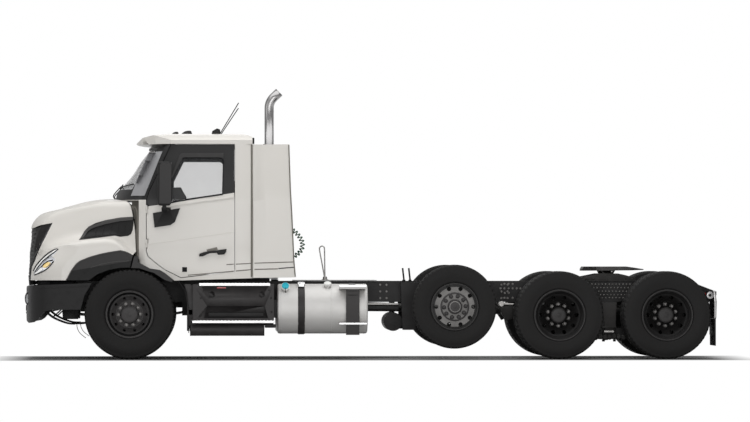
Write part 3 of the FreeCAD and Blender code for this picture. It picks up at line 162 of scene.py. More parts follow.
class Finish:
    """One material, or the world: its nodes, and the shader at their end."""

    def __init__(self, name, kind="Material"):
        self.owner = (bpy.data.materials if kind == "Material" else bpy.data.worlds).new(name)
        self.owner.use_nodes = True
        self.tree = self.owner.node_tree
        self.tree.nodes.clear()
        self.output = self.tree.nodes.new("ShaderNodeOutput" + kind)
        self.place = self.node("ShaderNodeTexCoord", output="Object")

    def node(self, kind, settings=None, *inputs, output=0, **named):
        """Any node: its settings first, then its sockets in order or by name, then one of its outputs."""
        made = self.tree.nodes.new(kind)
        for key, setting in (settings or {}).items():
            if key == "stops":
                while len(made.color_ramp.elements) < len(setting):
                    made.color_ramp.elements.new(1)
                for element, (place, shade) in zip(made.color_ramp.elements, setting):
                    element.position = place
                    element.color = (shade, shade, shade, 1)
            else:
                setattr(made, key, setting)
        for key, given in list(enumerate(inputs)) + [(k.replace("_", " "), v) for k, v in named.items()]:
            if isinstance(given, Value):
                self.tree.links.new(given.socket, made.inputs[key])
            elif given is not None:
                made.inputs[key].default_value = given
        return Value(self, made.outputs[output])

    def axes(self):
        """X, Y and Z of the piece in metres."""
        split = self.tree.nodes.new("ShaderNodeSeparateXYZ")
        self.tree.links.new(self.place.socket, split.inputs[0])
        return [Value(self, split.outputs[i]) for i in range(3)]

    def noise(self, scale, detail=3.0, stretch=None):
        """Noise from 0 to 1, its grain given in waves a metre, stretched along the axes if asked."""
        place = self.place
        if stretch:
            place = self.node("ShaderNodeMapping", None, place, Scale=stretch)
        return self.node("ShaderNodeTexNoise", None, Vector=place, Scale=scale, Detail=detail)

    def ramp(self, value, *stops):
        return self.node("ShaderNodeValToRGB", {"stops": stops}, value)

    def blend(self, share, first, second):
        """Blend of two colours by a share from 0 to 1."""
        made = self.tree.nodes.new("ShaderNodeMix")
        made.data_type = "RGBA"
        for index, given in ((0, share), (6, first), (7, second)):
            if isinstance(given, Value):
                self.tree.links.new(given.socket, made.inputs[index])
            else:
                made.inputs[index].default_value = given if index == 0 else tuple(given) + (1,)
        return Value(self, made.outputs[2])

    def two_tone(self, base, second, split):
        """The base with a second colour where the mask split(finish, x, y, z) is 1."""
        return self.blend(split(self, *self.axes()), base, second) if second else base

    def bump(self, height, distance, strength=1.0):
        return self.node("ShaderNodeBump", None, Strength=strength, Distance=distance, Height=height)

    def end(self, shader):
        self.tree.links.new(shader.socket, self.output.inputs["Surface"])
        return self.owner

    def surface(self, **sockets):
        return self.end(self.node("ShaderNodeBsdfPrincipled", None, **sockets))


def paint(name, shade, gloss=0.4, coat=0.3, second=None, split=None):
    """Sprayed paint under clear coat: faint unevenness, orange peel and road dust low down."""
    f = Finish(name)
    x, y, z = f.axes()
    cloudy = f.noise(1.7, 2.0)
    dust = f.ramp(f.noise(9.0, 4.0) * 0.5 + (1.3 - z) * 0.8, (0.35, 0), (1.0, 1))
    base = f.blend(cloudy, [c * 0.975 for c in shade], [min(c * 1.02, 0.9) for c in shade])
    base = f.blend(dust * 0.22, base, [c * 0.72 for c in shade])
    if second:
        black = split(f, x, y, z)
        base = f.blend(black, base, second)
        coat = (1.0 - black * 0.8) * coat
    peel = f.bump(f.noise(160.0, 1.0), 0.0002, 0.25)
    return f.surface(Base_Color=base, Roughness=gloss + f.noise(22.0, 3.0) * 0.08, Specular_IOR_Level=0.35,
                     Coat_Weight=coat, Coat_Roughness=0.08, Normal=peel)


def moulded(name, shade, roughness=0.5, grain=0.00025, scale=900.0, second=None, split=None):
    """Moulded plastic: fine leather-like grain, with paler scuffs."""
    f = Finish(name)
    scuff = f.ramp(f.noise(14.0, 6.0), (0.52, 0), (0.78, 1))
    base = f.blend(scuff * 0.35, shade, [c * 1.6 + 0.002 for c in shade])
    base = f.two_tone(base, second, split)
    return f.surface(Base_Color=base, Specular_IOR_Level=0.25, Roughness=roughness + scuff * 0.12,
                     Normal=f.bump(f.noise(scale, 2.0), grain, 0.7))


def chassis_paint(name, shade, roughness=0.42, second=None, split=None):
    """Satin chassis paint over rolled steel, dusted unevenly."""
    f = Finish(name)
    dust = f.ramp(f.noise(6.0, 5.0) + (0.8 - f.axes()[2]) * 0.25, (0.42, 0), (0.9, 1))
    base = f.two_tone(f.blend(dust * 0.5, shade, [c * 2.2 for c in shade]), second, split)
    return f.surface(Base_Color=base, Roughness=roughness + dust * 0.25, Specular_IOR_Level=0.22,
                     Normal=f.bump(f.noise(60.0, 4.0), 0.0006, 0.4))


def rubber(name, shade=(0.0085, 0.0082, 0.0082), roughness=0.62):
    """Tyre and flap rubber with a bloom of dust."""
    f = Finish(name)
    bloom = f.ramp(f.noise(5.0, 6.0), (0.35, 0), (0.8, 1))
    return f.surface(Base_Color=f.blend(bloom * 0.5, shade, (0.020, 0.019, 0.018)), Specular_IOR_Level=0.2,
                     Roughness=roughness + bloom * 0.15, Normal=f.bump(f.noise(420.0), 0.0004, 0.5))


def bare_metal(name, shade, roughness, stretch=(1, 60, 60), lines=30.0, wear=0.12, depth=0.00012,
               metallic=1.0):
    """Brushed or polished metal: fine lines one way, with smudges in the gloss."""
    f = Finish(name)
    brushed = f.noise(lines, 2.0, stretch)
    smudge = f.ramp(f.noise(7.0, 5.0), (0.4, 0), (0.75, 1))
    base = f.blend(smudge * 0.25, shade, [c * 0.8 for c in shade])
    return f.surface(Base_Color=base, Metallic=metallic, Roughness=roughness + brushed * 0.06 + smudge * wear,
                     Normal=f.bump(brushed, depth, 0.5))


def cast_metal(name, shade, roughness=0.6, grease=0.3):
    """Cast or forged steel: sandy skin, darker greasy patches."""
    f = Finish(name)
    patch = f.ramp(f.noise(11.0, 5.0), (0.45, 0), (0.7, 1))
    base = f.blend(patch * grease, shade, [c * 0.45 for c in shade])
    return f.surface(Base_Color=base, Metallic=0.55, Roughness=roughness - patch * 0.2,
                     Normal=f.bump(f.noise(240.0, 4.0), 0.0008, 0.5))


def window_glass(name, shade, alpha, front=None):
    """Thin tinted pane with a faint film; front gives the windshield its own density and a lighter grey that
    is a painted reflection.
    """
    f = Finish(name)
    film = f.ramp(f.noise(3.0, 3.0), (0.3, 0), (0.9, 1))
    share = alpha + film * 0.03
    base = f.blend(film * 0.3, shade, [c * 1.2 for c in shade])
    if front:
        # The windshield is denser and lighter grey: a painted reflection
        ahead = f.axes()[0] > FRONT_AXLE - 0.9
        share = share + ahead * (front["alpha"] - alpha)
        base = f.blend(ahead, base, front["shade"])
    return f.surface(Base_Color=base, Roughness=0.02 + film * 0.04, Alpha=share, Coat_Weight=1.0,
                     Coat_Roughness=0.02)


def lens(name, shade, ribs=260.0, alpha=1.0, glow=0.0):
    """Moulded lamp lens with fine flutes."""
    f = Finish(name)
    x, _, z = f.axes()
    flute = (x * ribs).wave() * 0.5 + (z * ribs).wave() * 0.5
    base = f.blend(f.noise(30.0) * 0.4, shade, [c * 0.7 for c in shade])
    return f.surface(Base_Color=base, Roughness=0.08 + f.noise(40.0) * 0.05, Alpha=alpha, Coat_Weight=1.0,
                     Emission_Color=base, Emission_Strength=glow, Normal=f.bump(flute, 0.0006, 0.35))


def woven(name, shade, thread=1500.0):
    """Seat cloth: over and under threads, with slubs."""
    f = Finish(name)
    x, y, z = f.axes()
    weave = (x * thread).wave() * (y * thread + z * thread).wave()
    slub = f.noise(60.0, 4.0)
    base = f.blend(slub * 0.6, shade, [c * 1.9 for c in shade])
    return f.surface(Base_Color=base, Roughness=0.85 + slub * 0.1, Sheen_Weight=0.2,
                     Normal=f.bump(weave * 0.5 + slub, 0.0005, 0.6))


def checkered(name, shade, roughness=0.35):
    """Tread plate: raised five-bar lozenges, rubbed bright on top."""
    f = Finish(name)
    x, y, _ = f.axes()
    cell = 90.0
    lozenge = ((x * cell + y * cell).wave() * (x * cell - y * cell).wave()).most(0.0)
    base = f.blend(f.ramp(lozenge, (0.2, 0), (0.6, 1)), [c * 0.6 for c in shade], shade)
    return f.surface(Base_Color=base, Metallic=1.0, Roughness=roughness + f.noise(30.0) * 0.2,
                     Normal=f.bump(lozenge, 0.003, 0.8))


def black_above(line):
    """Mask that is 1 above a belt line of (x, z) points, straight between them."""
    def split(f, x, y, z):
        edge = None
        for (x0, z0), (x1, z1) in zip(line, line[1:]):
            slope = (z1 - z0) / (x1 - x0)
            run = (x - (FRONT_AXLE + x0 * MM)) * slope + z0 * MM
            edge = run if edge is None else edge.most(run)
        return z > edge
    return split


# Crease of the flares: a place on it, how it rises forward, and where the flares end, in metres
CREASE = {"x": 0.50, "z": 1.145, "rise": 0.17, "end": -0.03}


def flare_underside_shade(f, x, y, z):
    """Mask of the flares' lower faces, under the crease that runs back over the wheel, where they are
    darkened as painted shade.
    """
    over = (z - CREASE["z"]) - (FRONT_AXLE + CREASE["x"] - x) * CREASE["rise"]
    return (over < 0.0) * (x > FRONT_AXLE + CREASE["end"])


def wheel_shade_ring(kind, near, far):
    """Mask of a ring round a wheel's axle line, between two radii in mm, darkened as painted shade in the
    wheel's well.
    """
    def mask(f, x, y, z):
        across = x - (FRONT_AXLE + kind["x"] * MM)
        up = z - kind["z"] * MM
        reach = (across * across + up * up).power(0.5)
        return (reach > near * MM) * (reach < far * MM)
    return mask


def tread_band(f, x, y, z):
    """Mask of the two bare treads of the tank's steps, between their own heights in metres."""
    return ((z > 0.878) * (z < 0.934)).most((z > 0.433) * (z < 0.461))


BELT_LINE = [(-229, 1906), (-529, 1956), (-1304, 2062)]
BODY_SHADE = (0.660, 0.638, 0.600)
BLACK_SHADE = (0.0075, 0.0072, 0.0074)
DEEP_SHADE = (0.006, 0.006, 0.006)
PANE_SHADE = (0.12, 0.125, 0.13)
# Light grey of the windshield and of its side panes: a painted reflection
SCREEN_REFLECTION_GREY = (0.30, 0.30, 0.31)

# Front pillars and header, and the rear window's surround, in millimetres
PILLAR = {"x": -560, "z": 1997}
REAR_WINDOW = {"x": CAB_REAR + 40, "half": 620, "low": 2030, "high": 2560}


def pillar_black(f, x, y, z):
    """Mask of the cab's black parts round its glass."""
    front = (x > FRONT_AXLE + PILLAR["x"] * MM) * (z > PILLAR["z"] * MM)
    behind = (x < FRONT_AXLE + REAR_WINDOW["x"] * MM) * (y.size() < REAR_WINDOW["half"] * MM)
    return front.most(behind * (z > REAR_WINDOW["low"] * MM) * (z < REAR_WINDOW["high"] * MM))


SKINS = {
    "body": paint("body_paint", BODY_SHADE),
    "cab": paint("cab_paint", BODY_SHADE, second=BLACK_SHADE, split=pillar_black),
    "door": paint("door_paint", BODY_SHADE, second=BLACK_SHADE, split=black_above(BELT_LINE)),
    "tyre": rubber("tyre_rubber"),
    "flap": rubber("flap_rubber", DEEP_SHADE, 0.55),
    "wheel": chassis_paint("wheel_paint", (0.036, 0.034, 0.034), 0.38),
    # The steer and lift discs are darkened in a ring towards the rim: painted shade
    "steer_disc": chassis_paint("steer_wheel_paint", (0.038, 0.036, 0.036), 0.38, DEEP_SHADE,
                                wheel_shade_ring(STEER, 248, 277)),
    # Drive wheels' dish, much darker than the steer disc: painted shade in the deep dish
    "dish": chassis_paint("drive_dish_shade", (0.010, 0.0095, 0.0095), 0.42),
    "grey_wheel": chassis_paint("grey_wheel_paint", (0.165, 0.160, 0.155), 0.42, (0.014, 0.0135, 0.013),
                                wheel_shade_ring(LIFT, 250, 400)),
    "nut": bare_metal("nut_steel", (0.125, 0.120, 0.117), 0.34),
    "chassis": chassis_paint("chassis_black", (0.0085, 0.008, 0.008)),
    "panel": chassis_paint("panel_black", (0.028, 0.026, 0.026), 0.36),
    "black": moulded("black_plastic", BLACK_SHADE),
    "grey": moulded("grey_plastic", (0.034, 0.033, 0.033), 0.55),
    # The flares' lower faces take a near-black second colour: painted shade under the crease
    "flare": moulded("flare_plastic", (0.030, 0.029, 0.029), 0.55, second=DEEP_SHADE, split=flare_underside_shade),
    "gloss": moulded("gloss_black", (0.020, 0.020, 0.022), 0.2, 0.0001),
    "white_plastic": moulded("white_plastic", (0.72, 0.72, 0.70), 0.4, 0.0001),
    "seal": moulded("seal_rubber", (0.150, 0.140, 0.122), 0.6),
    "silver": bare_metal("lamp_reflector", (0.62, 0.63, 0.66), 0.22),
    "glass": window_glass("side_window", PANE_SHADE, 0.13),
    # Nearly opaque grey for the screen's side panes: a painted reflection
    "screen_side": window_glass("screen_side_reflection", SCREEN_REFLECTION_GREY, 0.92),
    "screen": window_glass("screen_glass", PANE_SHADE, 0.13, {"alpha": 0.36, "shade": SCREEN_REFLECTION_GREY}),
    "lens": lens("clear_lens", (0.70, 0.72, 0.74), alpha=0.35),
    "white_lens": lens("white_strip", (0.9, 0.9, 0.88), glow=0.25),
    "amber": lens("amber_lens", (0.85, 0.62, 0.22), glow=0.15),
    "red": lens("red_lens", (0.42, 0.02, 0.02)),
    "trim": moulded("interior_plastic", (0.075, 0.072, 0.07), 0.6),
    "seat": woven("seat_cloth", (0.055, 0.055, 0.06)),
    "alu": bare_metal("polished_aluminium", (0.60, 0.59, 0.575), 0.5, (1, 50, 50), 12.0, 0.04, metallic=0.35),
    "tread": bare_metal("tread_aluminium", (0.82, 0.82, 0.82), 0.33, (1, 20, 20)),
    "deck": checkered("deck_plate_metal", (0.30, 0.30, 0.30)),
    "chrome": bare_metal("polished_steel", (0.34, 0.335, 0.335), 0.24, (30, 30, 1)),
    "steel": bare_metal("worn_steel", (0.34, 0.33, 0.32), 0.35),
    "rim": moulded("rim_plastic", (0.055, 0.053, 0.052), 0.5),
    # Darkened body hue for the handle's recess: painted shade
    "recess": moulded("recess_painted_shade", (0.19, 0.178, 0.158), 0.5),
    "hanger": chassis_paint("hanger_grey", (0.036, 0.034, 0.033), 0.5),
    # Bolt heads and rivets: steel, lighter than the frame partly as a painted highlight on their heads
    "bolt": bare_metal("bolt_steel_highlight", (0.16, 0.155, 0.15), 0.45),
    "mirror": bare_metal("mirror_glass", (0.75, 0.76, 0.78), 0.03, depth=0.0),
    "cast": cast_metal("cast_steel", (0.022, 0.021, 0.020)),
    "plate": cast_metal("greased_plate", (0.040, 0.038, 0.037), 0.5, 0.7),
    "bellows": rubber("bellows_rubber", (0.007, 0.007, 0.007), 0.5),
    "tank_step": chassis_paint("tank_step_paint", (0.028, 0.026, 0.026), 0.4, (0.50, 0.49, 0.48), tread_band),
    "green": moulded("green_line", (0.010, 0.075, 0.030), 0.35, 0.0001),
    "dark": moulded("black_line", (0.014, 0.022, 0.018), 0.35, 0.0001),
    "cyan": moulded("cyan_cap", (0.03, 0.46, 0.58), 0.35, 0.0001),
    # Black of seals and bezels, and also painted shade for the dark blocks under the cab and hood
    "shadow": moulded("black_and_painted_shade", (0.008, 0.008, 0.009), 0.8),
}

# Shapes: each returns its points in millimetres and its faces


def array(values):
    return np.asarray(values, float)


def circle(count):
    """Angles of even steps round a circle."""
    return np.linspace(0, TAU, count, endpoint=False)


def skin(rings, around=False):
    """Surface through an array of closed rings (ring, point, xyz), with flat ends unless it runs around."""
    rings = array(rings)
    count, size = rings.shape[:2]
    i = np.arange(count if around else count - 1)[:, None]
    j = np.arange(size)[None, :]
    i_next = (i + 1) % count
    j_next = (j + 1) % size
    quads = np.stack([i * size + j, i * size + j_next, i_next * size + j_next, i_next * size + j], -1)
    faces = quads.reshape(-1, 4).tolist()
    if not around:
        faces.append(list(range(size)))
        faces.append(list(range((count - 1) * size, count * size)))
    return rings.reshape(-1, 3), faces


def joined(*shapes):
    """Several shapes as one."""
    points = []
    faces = []
    start = 0
    for some, loops in shapes:
        points.append(some)
        faces += [[start + i for i in loop] for loop in loops]
        start += len(some)
    return np.concatenate(points), faces


def mirrored(shape):
    """The same shape on the other side of the truck."""
    return shape[0] * np.array([1, -1, 1]), shape[1]


def both(*shapes):
    """Shapes and their mirror images as one."""
    shape = joined(*shapes)
    return joined(shape, mirrored(shape))


def sided(shape, side):
    return shape if side == "left" else mirrored(shape)


def span(side, near, far):
    """Low and high y of a range that is given outwards from the middle, side being 1 or -1."""
    return min(side * near, side * far), max(side * near, side * far)


def turned(profile, x, z, steps=96):
    """Closed profile of (y, radius) points turned about the cross axis at (x, z)."""
    profile = array(profile)
    angle = circle(steps)[:, None]
    y = np.broadcast_to(profile[None, :, 0], (steps, len(profile)))
    rings = np.stack([x + np.cos(angle) * profile[:, 1], y, z + np.sin(angle) * profile[:, 1]], -1)
    return skin(rings, around=True)


def lathe(profile, foot, axis=LEFT, steps=32):
    """Profile of (height, radius) points turned about an axis from a foot point, with flat ends."""
    profile = array(profile)
    axis = array(axis) / np.linalg.norm(axis)
    side = np.cross(axis, [0.31, 0.87, 0.4])
    side /= np.linalg.norm(side)
    up = np.cross(axis, side)
    angle = circle(steps)
    rim = np.cos(angle)[:, None] * side + np.sin(angle)[:, None] * up
    rings = array(foot) + profile[:, 0, None, None] * axis + profile[:, 1, None, None] * rim
    return skin(rings)


def inset(outline, by):
    """Closed 2-D outline with each corner moved inwards along its mitre."""
    outline = array(outline)
    area = np.sum(outline[:, 0] * np.roll(outline[:, 1], -1) - np.roll(outline[:, 0], -1) * outline[:, 1])
    ahead = np.roll(outline, -1, 0) - outline
    ahead /= np.linalg.norm(ahead, axis=1)[:, None]
    normal = np.stack([-ahead[:, 1], ahead[:, 0]], -1) * np.sign(area)
    before = np.roll(normal, 1, 0)
    mitre = normal + before
    mitre /= np.maximum(np.sum(mitre * normal, 1), 0.35)[:, None]
    return outline + mitre * by


def slab(outline, plane, start, end, edge=3.0, rounds=3):
    """Outline pushed out from start to end across a plane ("xz" or "xy"), both rims rounded by edge."""
    angle = np.linspace(0, math.pi / 2, rounds + 1)
    sign = 1 if end > start else -1
    levels = [(start + sign * edge * (1 - math.sin(a)), edge * (1 - math.cos(a))) for a in angle[::-1]]
    levels += [(end - sign * edge * (1 - math.sin(a)), edge * (1 - math.cos(a))) for a in angle]
    rings = []
    for depth, pull in levels:
        flat = inset(outline, pull)
        across = np.full(len(flat), depth)
        a, b = flat[:, 0], flat[:, 1]
        order = (a, across, b) if plane == "xz" else (a, b, across)
        rings.append(np.stack(order, -1))
    return skin(rings)


def box(x0, x1, y0, y1, z0, z1, edge=3.0):
    """Block with rounded rims."""
    return slab([(x0, y0), (x1, y0), (x1, y1), (x0, y1)], "xy", z0, z1, edge)


def smooth_path(points, samples=12):
    """Smooth curve that passes through all of the points."""
    points = array(points)
    padded = np.concatenate([[2 * points[0] - points[1]], points, [2 * points[-1] - points[-2]]])
    share = np.linspace(0, 1, samples, endpoint=False)[:, None]
    runs = []
    for a, b, c, d in zip(padded, padded[1:], padded[2:], padded[3:]):
        runs.append(0.5 * (2 * b + (c - a) * share + (2 * a - 5 * b + 4 * c - d) * share ** 2
                           + (3 * b - a - 3 * c + d) * share ** 3))
    return np.concatenate(runs + [points[-1:]])


def frames(path):
    """Two directions square to a path at each of its points, turned as little as can be along it."""
    ahead = np.gradient(path, axis=0)
    ahead /= np.linalg.norm(ahead, axis=1)[:, None]
    side = np.cross(ahead[0], [0.1, 0.93, 0.2])
    sides = []
    for direction in ahead:
        side = side - direction * np.dot(side, direction)
        side = side / np.linalg.norm(side)
        sides.append(side)
    sides = np.array(sides)
    return sides, np.cross(ahead, sides)


def rod(points, radius, sides=12, curved=True, samples=10):
    """Round bar or hose along a path, its radius a number or one for each point of the path."""
    path = smooth_path(points, samples) if curved else array(points)
    a, b = frames(path)
    angle = circle(sides)
    reach = np.broadcast_to(array(radius), (len(path),))[:, None, None]
    rim = np.cos(angle)[None, :, None] * a[:, None] + np.sin(angle)[None, :, None] * b[:, None]
    return skin(path[:, None] + rim * reach)


def straight(start, end, radius, sides=14):
    return rod([start, (array(start) + end) / 2, end], radius, sides, curved=False)


def strip(points, width, height, up=UP):
    """Flat band with a shallow crown along a path: width lies across, height stands along up."""
    path = array(points)
    ahead = np.gradient(path, axis=0)
    across = np.cross(ahead, up)
    across /= np.linalg.norm(across, axis=1)[:, None]
    up = array(up)
    profile = [(-0.5, 0), (-0.42, 0.8), (-0.2, 1), (0.2, 1), (0.42, 0.8), (0.5, 0)]
    rings = np.stack([path + across * width * a + up * height * b for a, b in profile], 1)
    return skin(rings)


def hexagon(foot, axis, across, height):
    """Hexagon head or nut with its corners chamfered, on a washer."""
    reach = across / math.sqrt(3)
    thick = height * 0.15
    washer = lathe([(0, reach * 0.2), (0, reach * 1.25), (thick, reach * 1.2), (thick, reach * 0.2)],
                   foot, axis, 14)
    top = array(foot) + array(axis) * thick
    head = lathe([(0, reach), (height * 0.75, reach), (height, reach * 0.8), (height * 1.02, reach * 0.1)],
                 top, axis, 6)
    return joined(washer, head)


def ring_of(count, x, y, z, radius, turn):
    """Points evenly round a cross axis."""
    angles = [turn + TAU * i / count for i in range(count)]
    return [(x + radius * math.cos(a), y, z + radius * math.sin(a)) for a in angles]


def cleaned(mesh, merge, crease, outward):
    """Merges a mesh's double points and shades it smoothly between its creases."""
    work = bmesh.new()
    work.from_mesh(mesh)
    bmesh.ops.remove_doubles(work, verts=work.verts, dist=merge)
    if outward:
        bmesh.ops.recalc_face_normals(work, faces=work.faces)
    work.to_mesh(mesh)
    work.free()
    mesh.shade_smooth()
    mesh.set_sharp_from_angle(angle=math.radians(crease))
    return mesh


def piece(name, shape, skin_name, body="chassis", *replaced, crease=32):
    """A mesh object at the origin from a shape in millimetres, with its finish, body and replaced nodes."""
    points, faces = shape
    mesh = bpy.data.meshes.new(name)
    mesh.from_pydata((points * MM + np.array([FRONT_AXLE, 0, 0])).tolist(), [], faces)
    thing = bpy.data.objects.new(name, cleaned(mesh, 1e-6, crease, True))
    return placed(thing, skin_name, body, *replaced)


def placed(thing, skin_name, body, *replaced):
    """Links an object, gives it its finish, puts it on its body and hides the nodes it replaces."""
    bpy.context.scene.collection.objects.link(thing)
    thing.data.materials.append(SKINS[skin_name])
    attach(thing, body)
    if replaced:
        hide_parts(*replaced)
    return thing


def smoothed(node, skin_name):
    """A carried-over node with its facets merged, so that its curves shade smoothly."""
    source = frame["nodes"][node]
    mesh = source.data.copy()
    mesh.materials.clear()
    thing = bpy.data.objects.new(node + "_panel", cleaned(mesh, 2e-5, 25, False))
    placed(thing, skin_name, source["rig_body"], node)


# Tyres

# Side wall as shares of the half width and of the wall's height, from the bead up
SIDE_WALL = [(0.86, 0.11), (0.9, 0.16), (0.905, 0.21), (0.965, 0.36), (0.995, 0.52), (1, 0.62),
             (0.985, 0.74), (0.955, 0.84), (0.93, 0.9), (0.935, 0.935), (0.91, 0.985)]
RIB_GROOVES = (-0.62, -0.32, 0.0, 0.32, 0.62)
LUG_GROOVES = (-0.4, 0.0, 0.4)
TREAD_DEPTH = 15
SCALLOP_DEPTH = 6
# Shares of the half width: where the crown ends, half a groove and its sway
CROWN_EDGE = 0.86
GROOVE_WIDTH = 0.022
GROOVE_SWAY = 0.012
# Shares of the wall's height: the raised rings, and half of one
RAISED_RINGS = (0.3, 0.8)
RING_WIDTH = 0.012
# Millimetres: how far a ring stands out, the wall's top lies under the tread and the crown falls away
RING_STAND = 1.6
WALL_UNDER_TREAD = 14
CROWN_DROP = 7


def tyre(kind, y, lugs, grooves, shoulder):
    """Tyre: a closed section of side walls, shoulders and tread, turned once round the wheel.

    Across the section the tread sinks by a groove depth along a few circumferential grooves; between
    them it sinks along slanting slots, lugs of them round the wheel. The side wall carries thin raised
    rings, and its shoulder scallops follow the lugs.
    """
    half = kind["width"] / 2
    wall = kind["tread"] - kind["bead"] - WALL_UNDER_TREAD
    bead = half * BEAD_SPREAD
    side = [(bead, kind["bead"] + 2), (bead + 2, kind["bead"] + 16)]
    side += [(half * out, kind["bead"] + wall * up) for out, up in SIDE_WALL]
    side = np.array(side)
    across = np.linspace(CROWN_EDGE, -CROWN_EDGE, 33) * half
    crown = kind["tread"] - CROWN_DROP * (across / (CROWN_EDGE * half)) ** 2
    tread = np.stack([across, crown], -1)
    section = np.concatenate([side, tread, side[::-1] * np.array([-1, 1])])
    steps = lugs * 4
    angle = circle(steps)[:, None]
    place = section[None, :, 0] / half
    radius = np.broadcast_to(section[None, :, 1], (steps, len(section))).copy()
    on_tread = (np.abs(place) < CROWN_EDGE + 0.01) & (radius > kind["tread"] - 20)
    groove = np.zeros_like(radius)
    for at in grooves:
        weave = at + GROOVE_SWAY * np.sin(angle * lugs)
        groove = np.maximum(groove, np.clip(1.6 - np.abs(place - weave) / GROOVE_WIDTH, 0, 1))
    slant = np.sin(angle * lugs + place * 5.0 * np.sign(place))
    cut = np.clip((slant - 0.35) * 3, 0, 1)
    radius -= on_tread * TREAD_DEPTH * np.maximum(groove, cut * (np.abs(place) > shoulder))
    edge = (np.abs(place) >= CROWN_EDGE + 0.01) & (radius > kind["tread"] - wall * 0.14)
    radius -= edge * SCALLOP_DEPTH * cut
    height = (section[:, 1] - kind["bead"]) / wall
    rings = RING_STAND * sum(np.exp(-((height - at) / RING_WIDTH) ** 2) for at in RAISED_RINGS)
    out = y + (section[:, 0] + np.sign(section[:, 0]) * rings * (height < 0.95))[None, :] + 0 * angle
    points = np.stack([kind["x"] + radius * np.cos(angle), out, kind["z"] + radius * np.sin(angle)], -1)
    return skin(points, around=True)


def tyres():
    """Road tread and side walls in place of the plain tyres."""
    for side in SIDES:
        for word, kind, lugs in (("steer_", STEER, 60), ("lift_", LIFT, 56)):
            shape = tyre(kind, kind["y"], lugs, RIB_GROOVES, 0.66)
            piece("tyre_tread_" + word + side, sided(shape, side), "tyre", word + "wheel_" + side,
                  "tyre_" + word + side, crease=40)
        for number, kind in enumerate(DRIVES, 1):
            pair = [tyre(kind, y, 58, LUG_GROOVES, 0.42) for y in (kind["y"], kind["y"] - DUAL_SPACING)]
            piece("tyre_treads_drive_%d_%s" % (number, side), sided(joined(*pair), side), "tyre",
                  "drive_wheels_%d_%s" % (number, side), "tyres_drive_%d_%s" % (number, side), crease=40)


# Stage, camera and lamps


def ray_is(finish, *kinds):
    """Mask of rays of any of some kinds."""
    masks = [finish.node("ShaderNodeLightPath", output="Is %s Ray" % kind) for kind in kinds]
    share = masks[0]
    for mask in masks[1:]:
        share = share.most(mask)
    return share


def aimed(data, place, aim):
    """A lamp or camera, put at a place and turned to look at another."""
    thing = bpy.data.objects.new(data.name, data)
    thing.location = place
    thing.rotation_mode = "QUATERNION"
    thing.rotation_quaternion = (Vector(aim) - Vector(place)).to_track_quat("-Z", "Y")
    bpy.context.scene.collection.objects.link(thing)
    return thing


def studio():
    """Plain white floor, darkened round the truck by a painted shadow, and soft lamps, with the camera where
    the photograph was taken from.
    """
    f = Finish("studio_floor")
    x, y, _ = f.axes()
    plain = f.node("ShaderNodeEmission", None, Color=(1, 1, 1, 1), Strength=1.0)
    seen_ray = ray_is(f, "Camera", "Glossy", "Transmission")
    # Camera and glossy rays see the floor round the truck darker, a painted shadow; further out they see
    # plain white
    shade = f.blend(seen_ray, FLOOR_BOUNCE, FLOOR_PAINTED_SHADOW)
    lit = f.node("ShaderNodeBsdfPrincipled", None, Base_Color=shade, Roughness=0.95)
    length, shift, half, fade = PAINTED_SHADOW_PATCH
    outside = ((x.size() - length) / (fade * 2)).most(((y - shift).size() - half) / fade)
    away = f.ramp(outside, (0.0, 0), (1.0, 1))
    f.end(f.node("ShaderNodeMixShader", None, away * seen_ray, lit, plain))
    mesh = bpy.data.meshes.new("studio_floor")
    r = FLOOR_REACH
    mesh.from_pydata([(-r, -r, 0), (r, -r, 0), (r, r, 0), (-r, r, 0)], [], [(0, 1, 2, 3)])
    mesh.materials.append(f.owner)
    floor = bpy.data.objects.new("studio_floor", mesh)
    bpy.context.scene.collection.objects.link(floor)
    floor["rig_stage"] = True

    sky = Finish("studio", "World")
    strength = sky.node("ShaderNodeMapRange", None, Value=ray_is(sky, "Camera", "Transmission"),
                        To_Min=WORLD_LIGHT, To_Max=1.0)
    bpy.context.scene.world = sky.end(sky.node("ShaderNodeBackground", None, (1, 1, 1, 1), strength))

    for name, place, aim, size, power in LAMPS:
        data = bpy.data.lights.new(name, "AREA")
        data.shape = "RECTANGLE"
        data.size, data.size_y = size
        data.energy = power
        aimed(data, place, aim)

    data = bpy.data.cameras.new("camera")
    data.sensor_width = SENSOR_WIDTH
    data.lens = CAMERA_DISTANCE / PIXEL * data.sensor_width / (2 * PICTURE_MIDDLE[0])
    data.clip_end = SIGHT
    x = FRONT_AXLE - CAMERA_BEHIND_AXLE
    column, row = PICTURE_MIDDLE
    aim = (x - (column - AXIS_COLUMN) * PIXEL, 0, CAMERA_HEIGHT + (HORIZON_ROW - row) * PIXEL)
    bpy.context.scene.camera = aimed(data, (x, CAMERA_DISTANCE, CAMERA_HEIGHT), aim)
    bpy.context.scene.view_settings.view_transform = "Standard"


WORLD_LIGHT = 0.42
FLOOR_REACH = 400.0
FLOOR_BOUNCE = (0.42, 0.42, 0.42)
# Albedo of the floor patch round the truck as camera and glossy rays see it: a painted shadow
FLOOR_PAINTED_SHADOW = (0.20, 0.20, 0.20)
# Half length, sideways shift, half width and fade of the floor patch that is darkened as a painted shadow, in
# metres
PAINTED_SHADOW_PATCH = (4.3, 0.45, 1.15, 0.3)
# The photograph's middle, its horizon and the column above the camera, in pixels, and a pixel in metres
PICTURE_MIDDLE = (375, 211)
HORIZON_ROW = 267
AXIS_COLUMN = 220
PIXEL = 0.01278
